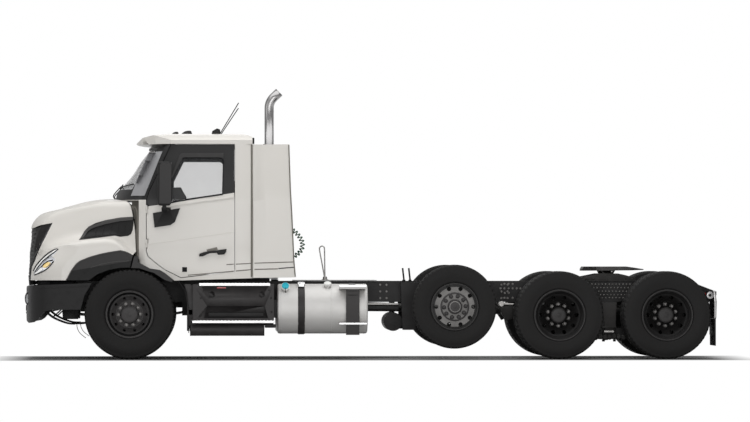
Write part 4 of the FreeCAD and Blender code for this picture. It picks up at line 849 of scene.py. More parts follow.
# The camera's sensor in millimetres, and how far it sees, where it stands, in metres
SENSOR_WIDTH = 36.0
SIGHT = 1000.0
CAMERA_DISTANCE = 54.6
CAMERA_HEIGHT = 1.156
CAMERA_BEHIND_AXLE = 1.129
LAMPS = [
    ("overhead", (0, 1.5, 9), (0, 0, 0), (16, 9), 850),
    ("near_side", (1, 15, 2.6), (0, 0, 1.4), (14, 4), 620),
    ("front", (13, 4, 5), (2, 0, 1.2), (6, 5), 130),
    ("far_side", (-2, -13, 6), (0, 0, 1.5), (12, 4), 130),
]

# Air lines

LINE_ROUTE = [(-1566, 1700), (-1720, 1700), (-1900, 1690), (-2070, 1630), (-2180, 1500), (-2185, 1380),
              (-2080, 1285), (-1910, 1210), (-1740, 1165), (-1566, 1165)]
LINE_Y = {"green": 150, "dark": -90}
COIL_RADIUS = 25
LINE_RADIUS = 6.5
COIL_PITCH = 44
COIL_POINTS = 20
# The coil opens over this run at both ends, after a share of it that stays straight
TAIL_RUN = 90
TAIL_STRAIGHT = 0.35


def nurbs(name, points, resolution):
    """Curve object along points, its ends held."""
    curve = bpy.data.curves.new(name, "CURVE")
    curve.dimensions = "3D"
    curve.resolution_u = resolution
    spline = curve.splines.new("NURBS")
    spline.points.add(len(points) - 1)
    spline.points.foreach_set("co", np.concatenate([points, np.ones((len(points), 1))], 1).ravel())
    spline.order_u = 3
    spline.use_endpoint_u = True
    return bpy.data.objects.new(name, curve)


def route_points(y):
    """Points along the route's own smooth curve, read back from a curve object with no bevel."""
    thing = nurbs("route", [(x, y, z) for x, z in LINE_ROUTE], 24)
    mesh = bpy.data.meshes.new_from_object(thing)
    points = np.zeros(len(mesh.vertices) * 3)
    mesh.vertices.foreach_get("co", points)
    bpy.data.objects.remove(thing)
    bpy.data.meshes.remove(mesh)
    return points.reshape(-1, 3)


def air_lines():
    """Curly lines: a helix round the route, opening from straight tails at both glands."""
    for name, y in LINE_Y.items():
        path = route_points(y)
        step = np.linalg.norm(np.diff(path, axis=0), axis=1)
        along = np.concatenate([[0], np.cumsum(step)])
        total = along[-1]
        turns = int(total / COIL_PITCH)
        at = np.linspace(0, total, turns * COIL_POINTS)
        even = np.stack([np.interp(at, along, path[:, i]) for i in range(3)], -1)
        a, b = frames(even)
        tail = np.clip(np.minimum(at, total - at) / TAIL_RUN - TAIL_STRAIGHT, 0, 1)
        reach = (COIL_RADIUS * tail * tail * (3 - 2 * tail))[:, None]
        phase = (np.arange(len(at)) / COIL_POINTS * TAU)[:, None]
        helix = (even + reach * (np.cos(phase) * a + np.sin(phase) * b)) * MM + np.array([FRONT_AXLE, 0, 0])
        line = nurbs("air_line_" + name, helix, 1)
        line.data.bevel_depth = LINE_RADIUS * MM
        line.data.bevel_resolution = 2
        line.data.use_fill_caps = True
        placed(line, name, "chassis", "air_lines")


# Seats

SQUARENESS = 0.36
SEAM_WIDTH = 0.035
SEAM_DEPTH = 0.12
SEAMS = (-0.42, 0.42)
BACK_TILT = 1.38


def cushion(centre, size, crown, seams, tilt):
    """Cushion: a rounded box whose faces bulge between its sewn channels and pull in at its corners.

    A sphere's grid is pushed out to a superellipsoid of the given size; its front face swells by crown,
    less a narrow dip at each seam across it, and the whole is tilted about the cross axis.
    """
    u = np.linspace(-math.pi / 2, math.pi / 2, 41)[:, None]
    v = circle(72)[None, :]

    def squared(value):
        return np.sign(value) * np.abs(value) ** SQUARENESS

    x = squared(np.cos(u)) * squared(np.cos(v))
    y = squared(np.cos(u)) * squared(np.sin(v))
    z = squared(np.sin(u)) + 0 * v
    face = np.clip(z, 0, 1)
    dip = sum(np.exp(-((y - s) / SEAM_WIDTH) ** 2) for s in seams)
    z = z + face * (crown * (1 - x ** 2) * (1 - y ** 2) - SEAM_DEPTH * dip)
    points = np.stack([x * size[0] / 2, y * size[1] / 2, z * size[2] / 2], -1)
    turn = np.array([[math.cos(tilt), 0, math.sin(tilt)], [0, 1, 0], [-math.sin(tilt), 0, math.cos(tilt)]])
    return skin(points @ turn.T + array(centre))


def seats():
    """Two seats: padded base and back with sewn channels, head rest and pedestal."""
    base = []
    for side, y in zip(SIDES, (480, -480)):
        for name, centre, size, tilt, seams in (
                ("base", (-975, y, 1560), (500, 480, 130), 0.0, SEAMS),
                ("back", (-1228, y, 1900), (560, 460, 110), BACK_TILT, SEAMS),
                ("head", (-1312, y, 2178), (130, 300, 90), BACK_TILT, ())):
            replaced = ["seats"] if name == "base" else []
            pad = piece("seat_%s_%s" % (name, side), cushion(centre, size, 0.35, seams, tilt), "seat",
                        "chassis", *replaced, crease=60)
        base.append(box(-1120, -830, y - 150, y + 150, 1192, 1470, 12))
        rails = [(-1215, y - 170), (-740, y - 170), (-740, y + 170), (-1215, y + 170)]
        base.append(slab(rails, "xy", 1465, 1500, 8))
    piece("seat_pedestals", joined(*base), "trim")


# Wheels

NUTS = 10


def wheel_nuts(kind):
    """Nuts with their washers and studs round the hub."""
    parts = []
    for place in ring_of(NUTS, kind["x"], kind["hub"], kind["z"], kind["nuts"], kind["first"]):
        parts.append(hexagon(place, LEFT, 38, 34))
        parts.append(lathe([(0, 26), (5, 26), (8, 21), (9, 1)], place, LEFT, 20))
        parts.append(lathe([(0, 12), (44, 12), (47, 9), (47, 1)], place, LEFT, 12))
    return joined(*parts)


def rim_lip(kind):
    """Rolled lip of the rim, a line round the tyre's bead."""
    y = kind["width"] / 2 * BEAD_SPREAD + kind["y"] + 11
    radius = kind["bead"] + 5
    profile = [(y + 5 * math.cos(a), radius + 5 * math.sin(a)) for a in circle(12)]
    return turned(profile, kind["x"], kind["z"], 120)


def hub_cap(kind):
    """Cap of the hub: a plain drum with a rounded rim and a slightly domed face, a lip at its foot."""
    radius, depth = kind["cap"], kind["depth"]
    profile = [(0, radius + 7), (6, radius + 6), (8, radius), (depth * 0.72, radius - 2),
               (depth * 0.88, radius - 6), (depth * 0.97, radius - 15), (depth, radius - 26),
               (depth + 2, radius * 0.5), (depth + 2, radius * 0.2), (depth + 3, radius * 0.18),
               (depth + 3, 1)]
    return lathe(profile, (kind["x"], kind["hub"], kind["z"]), LEFT, 64)


def flange_ring(kind):
    """Raised ring round the nuts, its inner edge sharp and its outer one sloping."""
    y, radius = kind["hub"], kind["ring"]
    profile = [(y - 4, radius + 12), (y + 5, radius + 4), (y + 7, radius - 2), (y + 6, radius - 7),
               (y - 4, radius - 8)]
    return turned(profile, kind["x"], kind["z"], 96)


def wheels():
    """Nuts, hub caps and rim lips of every wheel."""
    kinds = {"steer_wheel": STEER, "lift_wheel": LIFT, "drive_wheels_1": DRIVES[0],
             "drive_wheels_2": DRIVES[1]}
    for side in SIDES:
        for name, kind in kinds.items():
            hub = joined(hub_cap(kind), flange_ring(kind))
            nut_skin = "wheel" if kind is LIFT else "nut"
            for part, shape, skin_name in (("_nuts_", wheel_nuts(kind), nut_skin), ("_cap_", hub, "wheel"),
                                           ("_lip_", rim_lip(kind), "wheel")):
                piece(name + part + side, sided(shape, side), skin_name, name + "_" + side)


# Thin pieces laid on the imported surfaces

TREES = {}


def tree_of(node):
    """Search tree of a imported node's surface."""
    if node not in TREES:
        mesh = frame["nodes"][node].data
        TREES[node] = BVHTree.FromPolygons([v.co for v in mesh.vertices],
                                           [tuple(p.vertices) for p in mesh.polygons])
    return TREES[node]


def met(node, points, heading, lift=0.0):
    """Points sent along a heading onto a node, then lifted back; misses follow their neighbours."""
    points = array(points)
    heading = array(heading)
    origin = np.array([FRONT_AXLE, 0, 0])
    found = [tree_of(node).ray_cast(Vector(point * MM + origin), Vector(heading))[3] for point in points]
    found = np.array([np.nan if distance is None else distance / MM - lift for distance in found])
    good = ~np.isnan(found)
    assert good.any(), "nothing met on " + node
    order = np.arange(len(found))
    return points + np.interp(order, order[good], found[good])[:, None] * heading


def spot(node, place, lift=0.0):
    """One (x, z) place laid on the left face of a node."""
    return met(node, [(place[0], OUTSIDE, place[1])], RIGHT, lift)[0]


# Side view: millimetres in a column or row, on the near side and on the frame's side, and the near
# side's front axle column and the height of its first row
NEAR_PIXEL = 12.5
FRAME_PIXEL = 12.69
NEAR_AXLE_COLUMN = 129.7
NEAR_TOP = 4493.5


def seen(*places):
    """Near-side (x, z) places from columns and rows of the side view."""
    return [((NEAR_AXLE_COLUMN - column) * NEAR_PIXEL, NEAR_TOP - NEAR_PIXEL * row) for column, row in places]


def seen_frame(*places):
    """(x, z) places on the frame's side from columns and rows of the side view."""
    x = -CAMERA_BEHIND_AXLE / MM
    z = CAMERA_HEIGHT / MM
    return [(x + (AXIS_COLUMN - column) * FRAME_PIXEL, z + (HORIZON_ROW - row) * FRAME_PIXEL)
            for column, row in places]


def spaced(places, count):
    """Polyline divided evenly by length."""
    places = array(places)
    along = np.concatenate([[0], np.cumsum(np.linalg.norm(np.diff(places, axis=0), axis=1))])
    at = np.linspace(0, along[-1], count)
    return np.stack([np.interp(at, along, places[:, i]) for i in range(places.shape[1])], -1)


def from_side(flat):
    """Ray starts beside the truck for an array of (x, z) places."""
    return np.stack([flat[:, 0], np.full(len(flat), OUTSIDE), flat[:, 1]], -1)


def trim(node, places, width, height, lift=-1.0, count=None):
    """Crowned strip laid on the left face of a node, along a side-view line of (x, z) places."""
    length = np.linalg.norm(np.diff(array(places), axis=0), axis=1).sum()
    flat = spaced(places, count or max(int(length / 30), 3))
    return strip(met(node, from_side(flat), RIGHT, lift), width, height, LEFT)


def ribbon(node, first, second, thick, lift=1.0, along=36, across=7):
    """Sheet laid on a node between two side-view lines: a grid from line to line, with its back face."""
    a = spaced(first, along)[:, None]
    b = spaced(second, along)[:, None]
    share = np.linspace(0, 1, across)[None, :, None]
    grid = a * (1 - share) + b * share
    top = met(node, from_side(grid.reshape(-1, 2)), RIGHT, lift + thick).reshape(along, across, 3)
    crown = np.sin(share * math.pi) * np.array([0, thick * 0.4, 0])
    back = top - np.array([0, thick, 0])
    return skin(np.concatenate([top + crown, back[:, ::-1]], 1))


def across_nose(node, z, reach, lift, count=61):
    """Line across the front of a node at one height."""
    y = np.linspace(-reach, reach, count)
    start = np.stack([np.full(count, IN_FRONT), y, np.full(count, float(z))], -1)
    return met(node, start, BACK, lift)


# Nose: grille, lamps, vents, bumper

GRILLE_EDGE = [(975, 1700), (1013, 1630), (1063, 1530), (1114, 1430), (1152, 1343), (1189, 1232),
               (1225, 1156), (1238, 1055), (1242, 1000)]
LAMP_TOP = seen((33.6, 271), (36, 266), (40, 261), (45, 256), (50, 252), (55, 249.5), (59, 248.5))
LAMP_MID = seen((34.5, 272.5), (38, 267), (43, 261), (47.5, 257.3), (52, 254), (55.5, 251.6), (58.5, 249))
LAMP_LOW = seen((34.2, 275.2), (40, 273), (45, 270.6), (50, 266.6), (54, 261.2))
LAMP_HIGH = seen((35.5, 272.6), (40, 268), (44, 264), (48, 261), (53, 260.2))


def grille():
    """Slats, posts and edge of the grille."""
    slats = []
    for z in np.arange(1076, 1640, 52):
        edge = np.interp(z, [p[1] for p in GRILLE_EDGE[::-1]], [p[0] for p in GRILLE_EDGE[::-1]])
        line = across_nose("grilles", z, 1000, 1.0, 81)
        slats.append(strip(line[line[:, 0] > edge + 12], 26, 4, AHEAD))
    for y in (-560, -280, 0, 280, 560):
        line = [(IN_FRONT, y, z) for z in np.linspace(1070, 1630, 24)]
        slats.append(strip(met("grilles", line, BACK), 18, 3, AHEAD))
    piece("grille_slats", joined(*slats), "black", "hood")
    piece("grille_edge", both(trim("grilles", [(x + 16, z) for x, z in GRILLE_EDGE], 26, 9)), "gloss", "hood")


def lamps():
    """Blades, amber and clear strips, bezels and covers of the headlamps."""
    piece("lamp_blades", both(ribbon("headlamps", LAMP_TOP, LAMP_MID, 5, along=44)), "white_lens", "hood")
    amber = ribbon("headlamps", seen((42.8, 266.2), (45.4, 263.8), (48, 262.2), (50.4, 262.3)),
                   seen((43.6, 267.8), (46, 267.6), (48.6, 265.8), (50.6, 263.2)), 8, 2)
    piece("lamp_amber", both(amber), "amber", "hood")
    bar = ribbon("headlamps", seen((34.6, 273), (37.5, 270.3), (41.5, 267.2)),
                 seen((35.2, 274.2), (39, 272.4), (43, 269.8)), 6, 2)
    piece("lamp_strip", both(bar), "white_lens", "hood")
    lines = [trim("headlamps", line, width, height, 2) for line, width, height in
             ((LAMP_TOP, 17, 9), (LAMP_MID, 14, 10), (LAMP_LOW, 15, 11), (LAMP_HIGH, 11, 10))]
    piece("lamp_bezels", both(*lines), "shadow", "hood")
    low_edge = seen((36, 271.6), (40, 267.4), (44, 263.5), (48, 260.4), (53, 259.6), (56, 254), (58, 250))
    piece("lamp_covers", both(ribbon("headlamps", LAMP_MID, low_edge, 3, 1)), "silver", "hood")


def vents():
    """Rims and fins of the side vents, and the flares' lips."""
    rim = ribbon("grilles", seen((79.4, 239.4), (84, 231), (88, 226.6), (95, 223), (105, 220), (120, 217.4),
                                 (132.8, 216.7)),
                 seen((84, 236.5), (87.5, 231.2), (91, 228.6), (97, 226.4), (106, 223.8), (120, 221),
                      (132.4, 220)), 12)
    piece("vent_rims", both(rim), "rim", "hood")
    fins = [trim("grilles", seen((94 + i * 7.5, 236.6 - i * 0.35), (97 + i * 7.2, 226 - i * 0.9)), 14, 6)
            for i in range(5)]
    fins.append(trim("grilles", seen((84, 238.2), (95, 236.6), (105, 235.4), (115, 234.6), (121, 235.4),
                                     (127, 234.8), (130.6, 233), (132, 229)), 14, 9))
    piece("vent_fins", both(*fins), "black", "hood")
    lip = trim("fender_flares", seen((67.5, 279.2), (72, 270.5), (77, 263.9), (81, 260.9), (90, 257.4),
                                     (100, 254.5), (110, 252.5), (120, 250.9), (126, 251.9), (131.8, 254.9)),
               14, 6)
    fold = trim("fender_flares", seen((91, 267.6), (100, 264.8), (108, 263), (116, 261.8), (130, 261)), 10, 5)
    piece("flare_lips", both(lip, fold), "rim", "hood")


def bumper():
    """Fold, screws, fog lamps and intake of the bumper."""
    heads = []
    for place, radius in zip(seen((47, 291), (47.5, 303.5), (64, 305)), (8, 7, 6)):
        heads.append(lathe([(0, radius), (3, radius * 0.9), (5, radius * 0.4), (5.5, 1)],
                           spot("front_bumper", place, -1), LEFT, 12))
    fold = trim("front_bumper", seen((33, 288.6), (40, 288), (60, 287.4), (88, 286.2)), 16, 5)
    piece("bumper_folds", both(fold, *heads), "black")
    fog = []
    glow = []
    for y in (-870, 870):
        foot = met("front_bumper", [(IN_FRONT, y, 760)], BACK)[0]
        turn = (0.9, 0.44 if y > 0 else -0.44, 0)
        fog.append(lathe([(-6, 78), (6, 78), (10, 72), (6, 62), (-4, 60), (-6, 2)], foot, turn, 40))
        glow.append(lathe([(-4, 58), (6, 56), (11, 40), (13, 2)], foot, turn, 36))
    piece("fog_bezels", joined(*fog), "shadow")
    piece("fog_lenses", joined(*glow), "lens")
    grid = []
    for z in (580, 620, 660, 700):
        grid.append(strip(across_nose("front_bumper", z, 430, 0.5, 25), 24, 6, AHEAD))
    for y in (-600, 600):
        hook = met("front_bumper", [(IN_FRONT, y, 640)], BACK)[0]
        grid.append(lathe([(0, 40), (4, 40), (7, 35), (3, 30), (3, 1)], hook, AHEAD, 32))
    piece("bumper_intake", joined(*grid), "shadow")


def guard_bars():
    """Bent bars and their stays under the bumper."""
    stays = []
    under = seen((45.5, 312.5), (52, 317.5), (60, 321.3), (68, 323.8), (75, 324.2), (80, 324.2), (86, 323.6))
    for y, count in ((520, 7), (880, 5)):
        curve = [(x, y, z) for x, z in under[:count]]
        stays.append(rod(curve, 9))
        stays.append(straight(curve[0], (902, y, 617), 7))
        stays.append(straight(curve[1], (845, y, 640), 6))
    stays.append(rod([(x, 700, z) for x, z in seen((75.8, 323), (76.6, 329), (79.5, 334), (85, 338.5))], 4))
    piece("front_guard_bars", both(*stays), "chassis")


# Cab and doors


def cab_seams():
    """Seals and folds of the cab and its side extenders, the cowl's apron and the screen's side panes, nearly
    opaque grey sheets with a painted reflection.
    """
    rear = trim("cab_shell", [(CAB_REAR + 12, 2690), (CAB_REAR + 12, 1030)], 20, 9, count=40)
    front = rod([(-98, 1022, 1275), (-98, 1024, 1400), (-98, 1006, 1500), (-98, 988, 1600), (-98, 965, 1756),
                 (-90, 940, 1860), (-62, 918, 1912)], 15, 12)
    piece("cab_seals", both(rear, front), "seal")
    lower = slab([(-124, 1240), (-66, 1240), (-66, 1620), (-124, 1620)], "xz", -980, 980, 6)
    upper = slab([(-124, 1600), (-66, 1600), (-58, 1756), (-38, 1856), (-12, 1905), (-12, 1926),
                  (-124, 1926)], "xz", -895, 895, 6)
    ledge = box(-124, -20, -800, 800, 1915, 1994, 8)
    piece("cowl_apron", joined(lower, upper, ledge), "seal")
    # The screen's side panes: nearly opaque grey sheets over the cab's corners, a painted reflection
    corner = ribbon("cab_shell", seen((149, 151), (146, 158), (136.5, 180), (130.5, 195.6)),
                    seen((162.3, 151), (159, 159), (150.4, 181), (144.4, 195.6)), 4, 2, along=40, across=9)
    piece("screen_corner_reflections", both(corner), "screen_side")
    piece("cab_folds", both(trim("cab_shell", seen((236, 264.2), (251.6, 263.4)), 12, 4),
                            trim("cab_shell", seen((236, 271), (251.6, 269.6)), 14, 4)), "seal")
    piece("extender_folds", both(trim("side_extenders", seen((254.5, 263.2), (293, 262)), 12, 4),
                                 trim("side_extenders", seen((254.5, 269.4), (278, 268.9)), 14, 4)), "seal")
    piece("extender_slots", both(trim("side_extenders", seen((278.5, 268.6), (294, 267.3)), 14, 3)), "grey")
    edge = [(-1990, 2686), (-2008, 2118), (-2026, 1806), (-2052, 1231), (-2070, 1035)]
    piece("extender_edges", both(trim("side_extenders", edge, 16, 10, count=40)), "seal")


def wipers():
    """Wipers, and the windshield's header."""
    arms = []
    for y in (90, -560):
        pivot = np.array([196.0, y, 2012.0])
        blade = met("cab_glass", [(700, y + 60 + i * 82, 2150 + i * 6) for i in range(9)], BACK, 12)
        arms.append(rod([pivot, pivot + (30, 20, 52), blade[2] + (16, 0, 6), blade[4] + (6, 0, 0)], 7, 8))
        arms.append(strip(blade, 16, 13, AHEAD))
        arms.append(lathe([(-20, 24), (8, 24), (16, 17), (18, 2)], pivot, (0.4, 0, 1), 20))
    piece("wipers", joined(*arms), "black")
    piece("screen_header", strip(across_nose("cab_shell", 2652, 820, 1.0, 41), 22, 6, AHEAD), "black")


def roof_pods():
    """Three low pods on the roof, each a dome drawn out backwards."""
    pods = []
    u = np.linspace(0.02, 1, 9)[:, None]
    v = circle(28)[None, :]
    for x, y, length, width, height in ((-560, 330, 90, 150, 32), (-560, -330, 90, 150, 32),
                                        (-700, 0, 150, 220, 56)):
        foot = met("cab_roof", [(x, y, 3100)], DOWN)[0]
        pods.append(skin(np.stack([foot[0] + length * u * np.cos(v) * 0.5 - length * 0.3 * (1 - u),
                                   foot[1] + width * u * np.sin(v) * 0.5,
                                   foot[2] + height * (1 - u ** 3) * np.ones_like(v)], -1)))
    piece("roof_pods", joined(*pods), "black")


def cab_inside():
    """Instruments and their hood, and dark blocks of painted shade that close the view under the floor and
    the hood.
    """
    dials = [box(-478, -462, 320, 640, 1930, 2020, 6), box(-468, -452, -60, 230, 1780, 1930, 6)]
    piece("instruments", joined(*dials), "gloss")
    shape = [(-470, 1940), (-480, 2120), (-520, 2158), (-636, 2160), (-662, 2112), (-705, 2040), (-700, 1960)]
    piece("instrument_hood", slab(shape, "xz", 270, 690, 26, 5), "trim")
    # Dark blocks of painted shade, standing where only shade shows under the floor and the hood
    dark = [box(-1640, -130, -420, 420, 972, 1060, 10), box(1000, 1110, -1030, 1030, 900, 1000, 14),
            box(700, 1000, -900, -480, 900, 985, 20), box(700, 1000, 480, 900, 900, 985, 20),
            box(-1760, -1630, -380, 380, 975, 1012, 12), box(-1870, -1780, -330, 330, 975, 1000, 12)]
    shield = [(-90, 1165), (-90, 1060), (-200, 1045), (-345, 985), (-345, 1085), (-200, 1150)]
    dark += [slab(shield, "xz", *span(s, 250, 585), 10, 2) for s in (1, -1)]
    piece("underbody_shade", joined(*dark), "shadow")
    wall = CAB_REAR - 4
    rails = [straight((wall, -300, z), (wall, 300, z), 8) for z in (1200, 1300)]
    piece("rear_wall_rails", joined(*rails), "black")


HANDLE = seen((199.3, 256.6), (199.6, 253.6), (204, 252), (210, 251), (217, 250.4), (221, 249.6),
              (226.6, 249), (226.2, 251.6), (224.4, 254.4), (218.2, 254.8), (216.8, 252.9), (210, 253.2),
              (206, 254.8), (203, 256.4))


def on_doors(shapes):
    """Pieces of both doors from left-hand shapes by name, each with its skin."""
    for side in SIDES:
        for name, (shape, skin_name) in shapes.items():
            piece("%s_%s" % (name, side), sided(shape, side), skin_name, "door_" + side)


def doors_trim():
    """Belt ledge, seals, handle with painted shade in its recess, socket, window surround and rain deflector
    of each door.
    """
    node = "door_left"
    ledge = ribbon(node, seen((164, 206.2), (172, 204), (200, 200.2), (233.6, 195.6)),
                   seen((164.5, 208.6), (173, 206.6), (200, 202.6), (233.6, 198)), 9, along=30, across=5)
    fold = trim(node, seen((149, 244), (190, 238.2), (233.6, 232)), 16, 3)
    sill = [trim(node, seen((226.5, 264.6), (233.8, 264.2)), 12, 4),
            trim(node, seen((188, 275.2), (210, 273.4), (233.8, 271.2)), 12, 4)]
    # Thin dark sheet above the handle: painted shade in its recess
    recess = ribbon(node, seen((206.5, 249.6), (212, 248.2), (217, 247)),
                    seen((207, 251.4), (212, 251), (218, 250)), 3, along=12, across=4)
    y = spot(node, (-1000, 1340))[1]
    handle = slab(HANDLE, "xz", y - 2, y + 34, 8, 4)
    y = spot(node, seen((184.5, 269.5))[0])[1]
    socket = slab(seen((182.2, 267.2), (187, 267.2), (187, 271.9), (182.2, 271.9)), "xz", y - 2, y + 5, 3)
    opening = seen((171.3, 203), (171.3, 178), (181.3, 157.4), (221, 157.4), (223.4, 160), (222.6, 193.6))
    seal = [trim(node, opening[:3], 16, 7, count=18), trim(node, opening[2:5], 14, 7, count=18),
            trim(node, opening[4:], 14, 7, count=12),
            trim(node, seen((171.3, 202.6), (188, 199.3), (222.6, 194.2)), 20, 9, count=20)]
    visor = ribbon(node, seen((170.6, 178), (179.6, 154.5), (181.5, 152.8), (223.6, 152.6)),
                   seen((172.4, 178), (182, 158.4), (184, 157), (223.4, 157.2)), 6, 8, along=40, across=5)
    on_doors({"belt_ledge": (ledge, "body"), "door_folds": (fold, "body"),
              "door_sill": (joined(*sill), "seal"), "handle_recess_shade": (recess, "recess"),
              "door_handle": (handle, "black"), "door_socket": (socket, "shadow"),
              "window_seal": (joined(*seal), "shadow"), "rain_deflector": (visor, "grey")})


def mirrors():
    """Mirror glasses in their housings, the lighter shell on each housing's side, and the upper arms."""
    panes = [box(-520, -515, 1268, 1402, 2080, 2450, 8), box(-520, -515, 1268, 1402, 1935, 2066, 8)]
    outline = [(-372, 1945), (-524, 1940), (-526, 2446), (-400, 2450), (-378, 2420)]
    shell = slab(outline, "xz", 1412, 1421, 6, 4)
    arm = rod([(-455, 1084, 2400), (-452, 1180, 2432), (-440, 1262, 2440)], 13, 10)
    on_doors({"mirror_glass": (joined(*panes), "mirror"), "mirror_shell": (shell, "grey"),
              "mirror_arm": (arm, "black")})


def rear_of_cab():
    """Rear window seal, wall ribs, struts and brackets."""
    ring = [(CAB_REAR - 1, y, z) for y, z in ((-566, 2064), (566, 2064), (566, 2526), (-566, 2526))]
    seal = [strip(spaced(ends, 12), 26, 9, BACK) for ends in zip(ring, ring[1:] + ring[:1])]
    piece("rear_window_seal", joined(*seal), "shadow")
    ribs = [box(CAB_REAR - 9, CAB_REAR + 2, -800, 800, z, z + 46, 7) for z in (1260, 1420, 1580, 1890)]
    ribs.append(box(CAB_REAR - 46, CAB_REAR + 2, -700, -430, 1100, 1220, 10))
    piece("rear_wall_ribs", joined(*ribs), "body")
    struts = [straight((CAB_REAR, 940, z), (-1930, 1120, z - 30), 12) for z in (1400, 1950)]
    piece("extender_struts", both(*struts), "black")
    tops = [box(-1560, -1536, 930, 958, 2700, 2778, 4), box(-1724, -1686, -820, -780, 2700, 2750, 6)]
    piece("rear_brackets", joined(*tops), "black")


def stack():
    """Clamps of the stack and its bowed shield with punched buttons."""
    x, y = STACK
    band = [(-14, 119), (-14, 124), (-6, 127), (6, 127), (14, 124), (14, 119)]
    clamps = [lathe(band, (x, y, z), UP, 64) for z in (1060, 1500, 2000, 2300, 2660)]
    clamps.append(lathe([(-10, 61), (-10, 66), (0, 68), (10, 66), (10, 61)], (x, y, 2716), UP, 48))
    piece("stack_clamps", joined(*clamps), "steel")
    angle = np.linspace(-1.9, 1.9, 49)
    heights = np.linspace(1080, 2640, 79)[:, None]
    outer = np.stack(np.broadcast_arrays(x - 130 * np.cos(angle), y + 130 * np.sin(angle), heights), -1)
    inner = outer + np.stack([4 * np.cos(angle), -4 * np.sin(angle), 0 * angle], -1)
    shield = [skin(np.concatenate([outer, inner[:, ::-1]], 1))]
    for z in range(1130, 2620, 60):
        for a in np.linspace(-1.4, 1.4, 7):
            out = np.array([-math.cos(a), math.sin(a), 0])
            shield.append(lathe([(-1, 9), (1, 9), (1.6, 7), (1.6, 1)], (x, y, z) + 130 * out, out, 8))
    piece("stack_shield", joined(*shield), "chrome")


def line_hardware():
    """Hose tender's wire and foot, and the glands of the air lines."""
    wire = rod([(-2471, 0, 988), (-2436, 0, 1180), (-2401, 0, 1373), (-2408, 0, 1408), (-2433, 0, 1424),
                (-2458, 0, 1408), (-2464, 0, 1373), (-2467, 0, 1180), (-2470, 0, 988)], 8, 12)
    foot = lathe([(0, 46), (6, 46), (10, 30), (40, 26), (46, 18), (46, 1)], (-2470, 0, 989), UP)
    glands = []
    for y in LINE_Y.values():
        for z in (LINE_ROUTE[0][1], LINE_ROUTE[-1][1]):
            glands.append(lathe([(0, 30), (6, 30), (10, 22), (24, 20), (31, 12), (46, 9), (46, 1)],
                                (CAB_REAR + 1, y, z), BACK, 24))
            glands.append(hexagon((CAB_REAR - 8, y, z), BACK, 34, 16))
    piece("line_hardware", joined(wire, foot, *glands), "steel", "chassis", "hose_tender")


def step_boxes():
    """Bright nosings with punched grips, latches, reflector and bolts of the step boxes."""
    nosing = []
    for x0, x1, z0, z1, deep in ((-1754, -872, 919, 954, 1206), (-1798, -785, 454, 487, 1209)):
        nosing.append(box(x0, x1, deep - 46, deep, z0, z1, 5))
        nosing.append(box(x0, x1, deep - 300, deep - 40, z1 - 12, z1 - 1, 3))
        nosing += [lathe([(0, 13), (4, 11), (4.5, 6), (1, 5), (1, 1)], (x, deep - 24, z1 - 1), UP, 10)
                   for x in np.arange(x0 + 30, x1 - 20, 44)]
    piece("step_nosings", both(*nosing), "tread")
    face = [hexagon((x, 1179, z), LEFT, 18, 9) for x, z in
            seen((201, 298), (271, 298), (201, 315), (271.5, 312), (204, 290), (269, 290))]
    for x in (-1029, -1654):
        face.append(rod([(x + 26, 1150, 792), (x + 26, 1184, 790), (x, 1190, 782), (x - 26, 1184, 790),
                         (x - 26, 1150, 792)], 6, 8))
    face.append(strip(spaced([(-985, 1116, 560), (-1672, 1116, 560)], 12), 60, 9, LEFT))
    face += [lathe([(-3, 79), (3, 79), (5, 76), (5, 60), (2, 58), (2, 1)], (x, 1072, 372), axis, 40)
             for x, axis in ((-760, AHEAD), (-1680, BACK))]
    face += [box(-1852, -1790, 900, 1120, 520, 742, 10), box(-1826, -1690, 1020, 1150, 395, 440, 8)]
    piece("step_box_fittings", both(*face), "chassis")
    piece("step_reflectors", both(box(-1204, -1091, 1178, 1188, 888, 904, 3)), "red")
    guard = slab(seen((184, 284), (190, 284), (196.8, 290), (196.8, 326), (189.4, 326), (188.4, 331),
                      (187, 331), (187, 300), (186, 292)), "xz", 760, 1120, 8)
    piece("splash_panels", both(guard, box(-806, -786, 640, 1150, 470, 936, 4)), "panel")


def filler(x, y, z, lean, ring_r, cap_r, height):
    """Filler neck leaning out of a tank, with its ring and the gripped edge of its cap."""
    axis = np.array([0, math.sin(lean), math.cos(lean)])
    neck = lathe([(-30, ring_r * 0.8), (height * 0.5, ring_r * 0.8), (height * 0.5, ring_r),
                  (height * 0.72, ring_r), (height * 0.76, ring_r * 0.9), (height * 0.76, 1)],
                 (x, y, z), axis, 40)
    top = np.array([x, y, z]) + axis * height * 0.7
    cap = [lathe([(0, cap_r), (height * 0.24, cap_r), (height * 0.3, cap_r * 0.9), (height * 0.3, 1)],
                 top, axis, 40)]
    side = np.array([1.0, 0, 0])
    up = np.cross(axis, side)
    for a in circle(20):
        foot = top + (side * math.cos(a) + up * math.sin(a)) * (cap_r - 1)
        cap.append(lathe([(1, 3), (height * 0.26, 3)], foot, axis, 6))
    return neck, joined(*cap)


def hoop(x, profile):
    """Band turned about the tank's axis."""
    return lathe(profile, (x, *TANK_AXIS), AHEAD, 96)


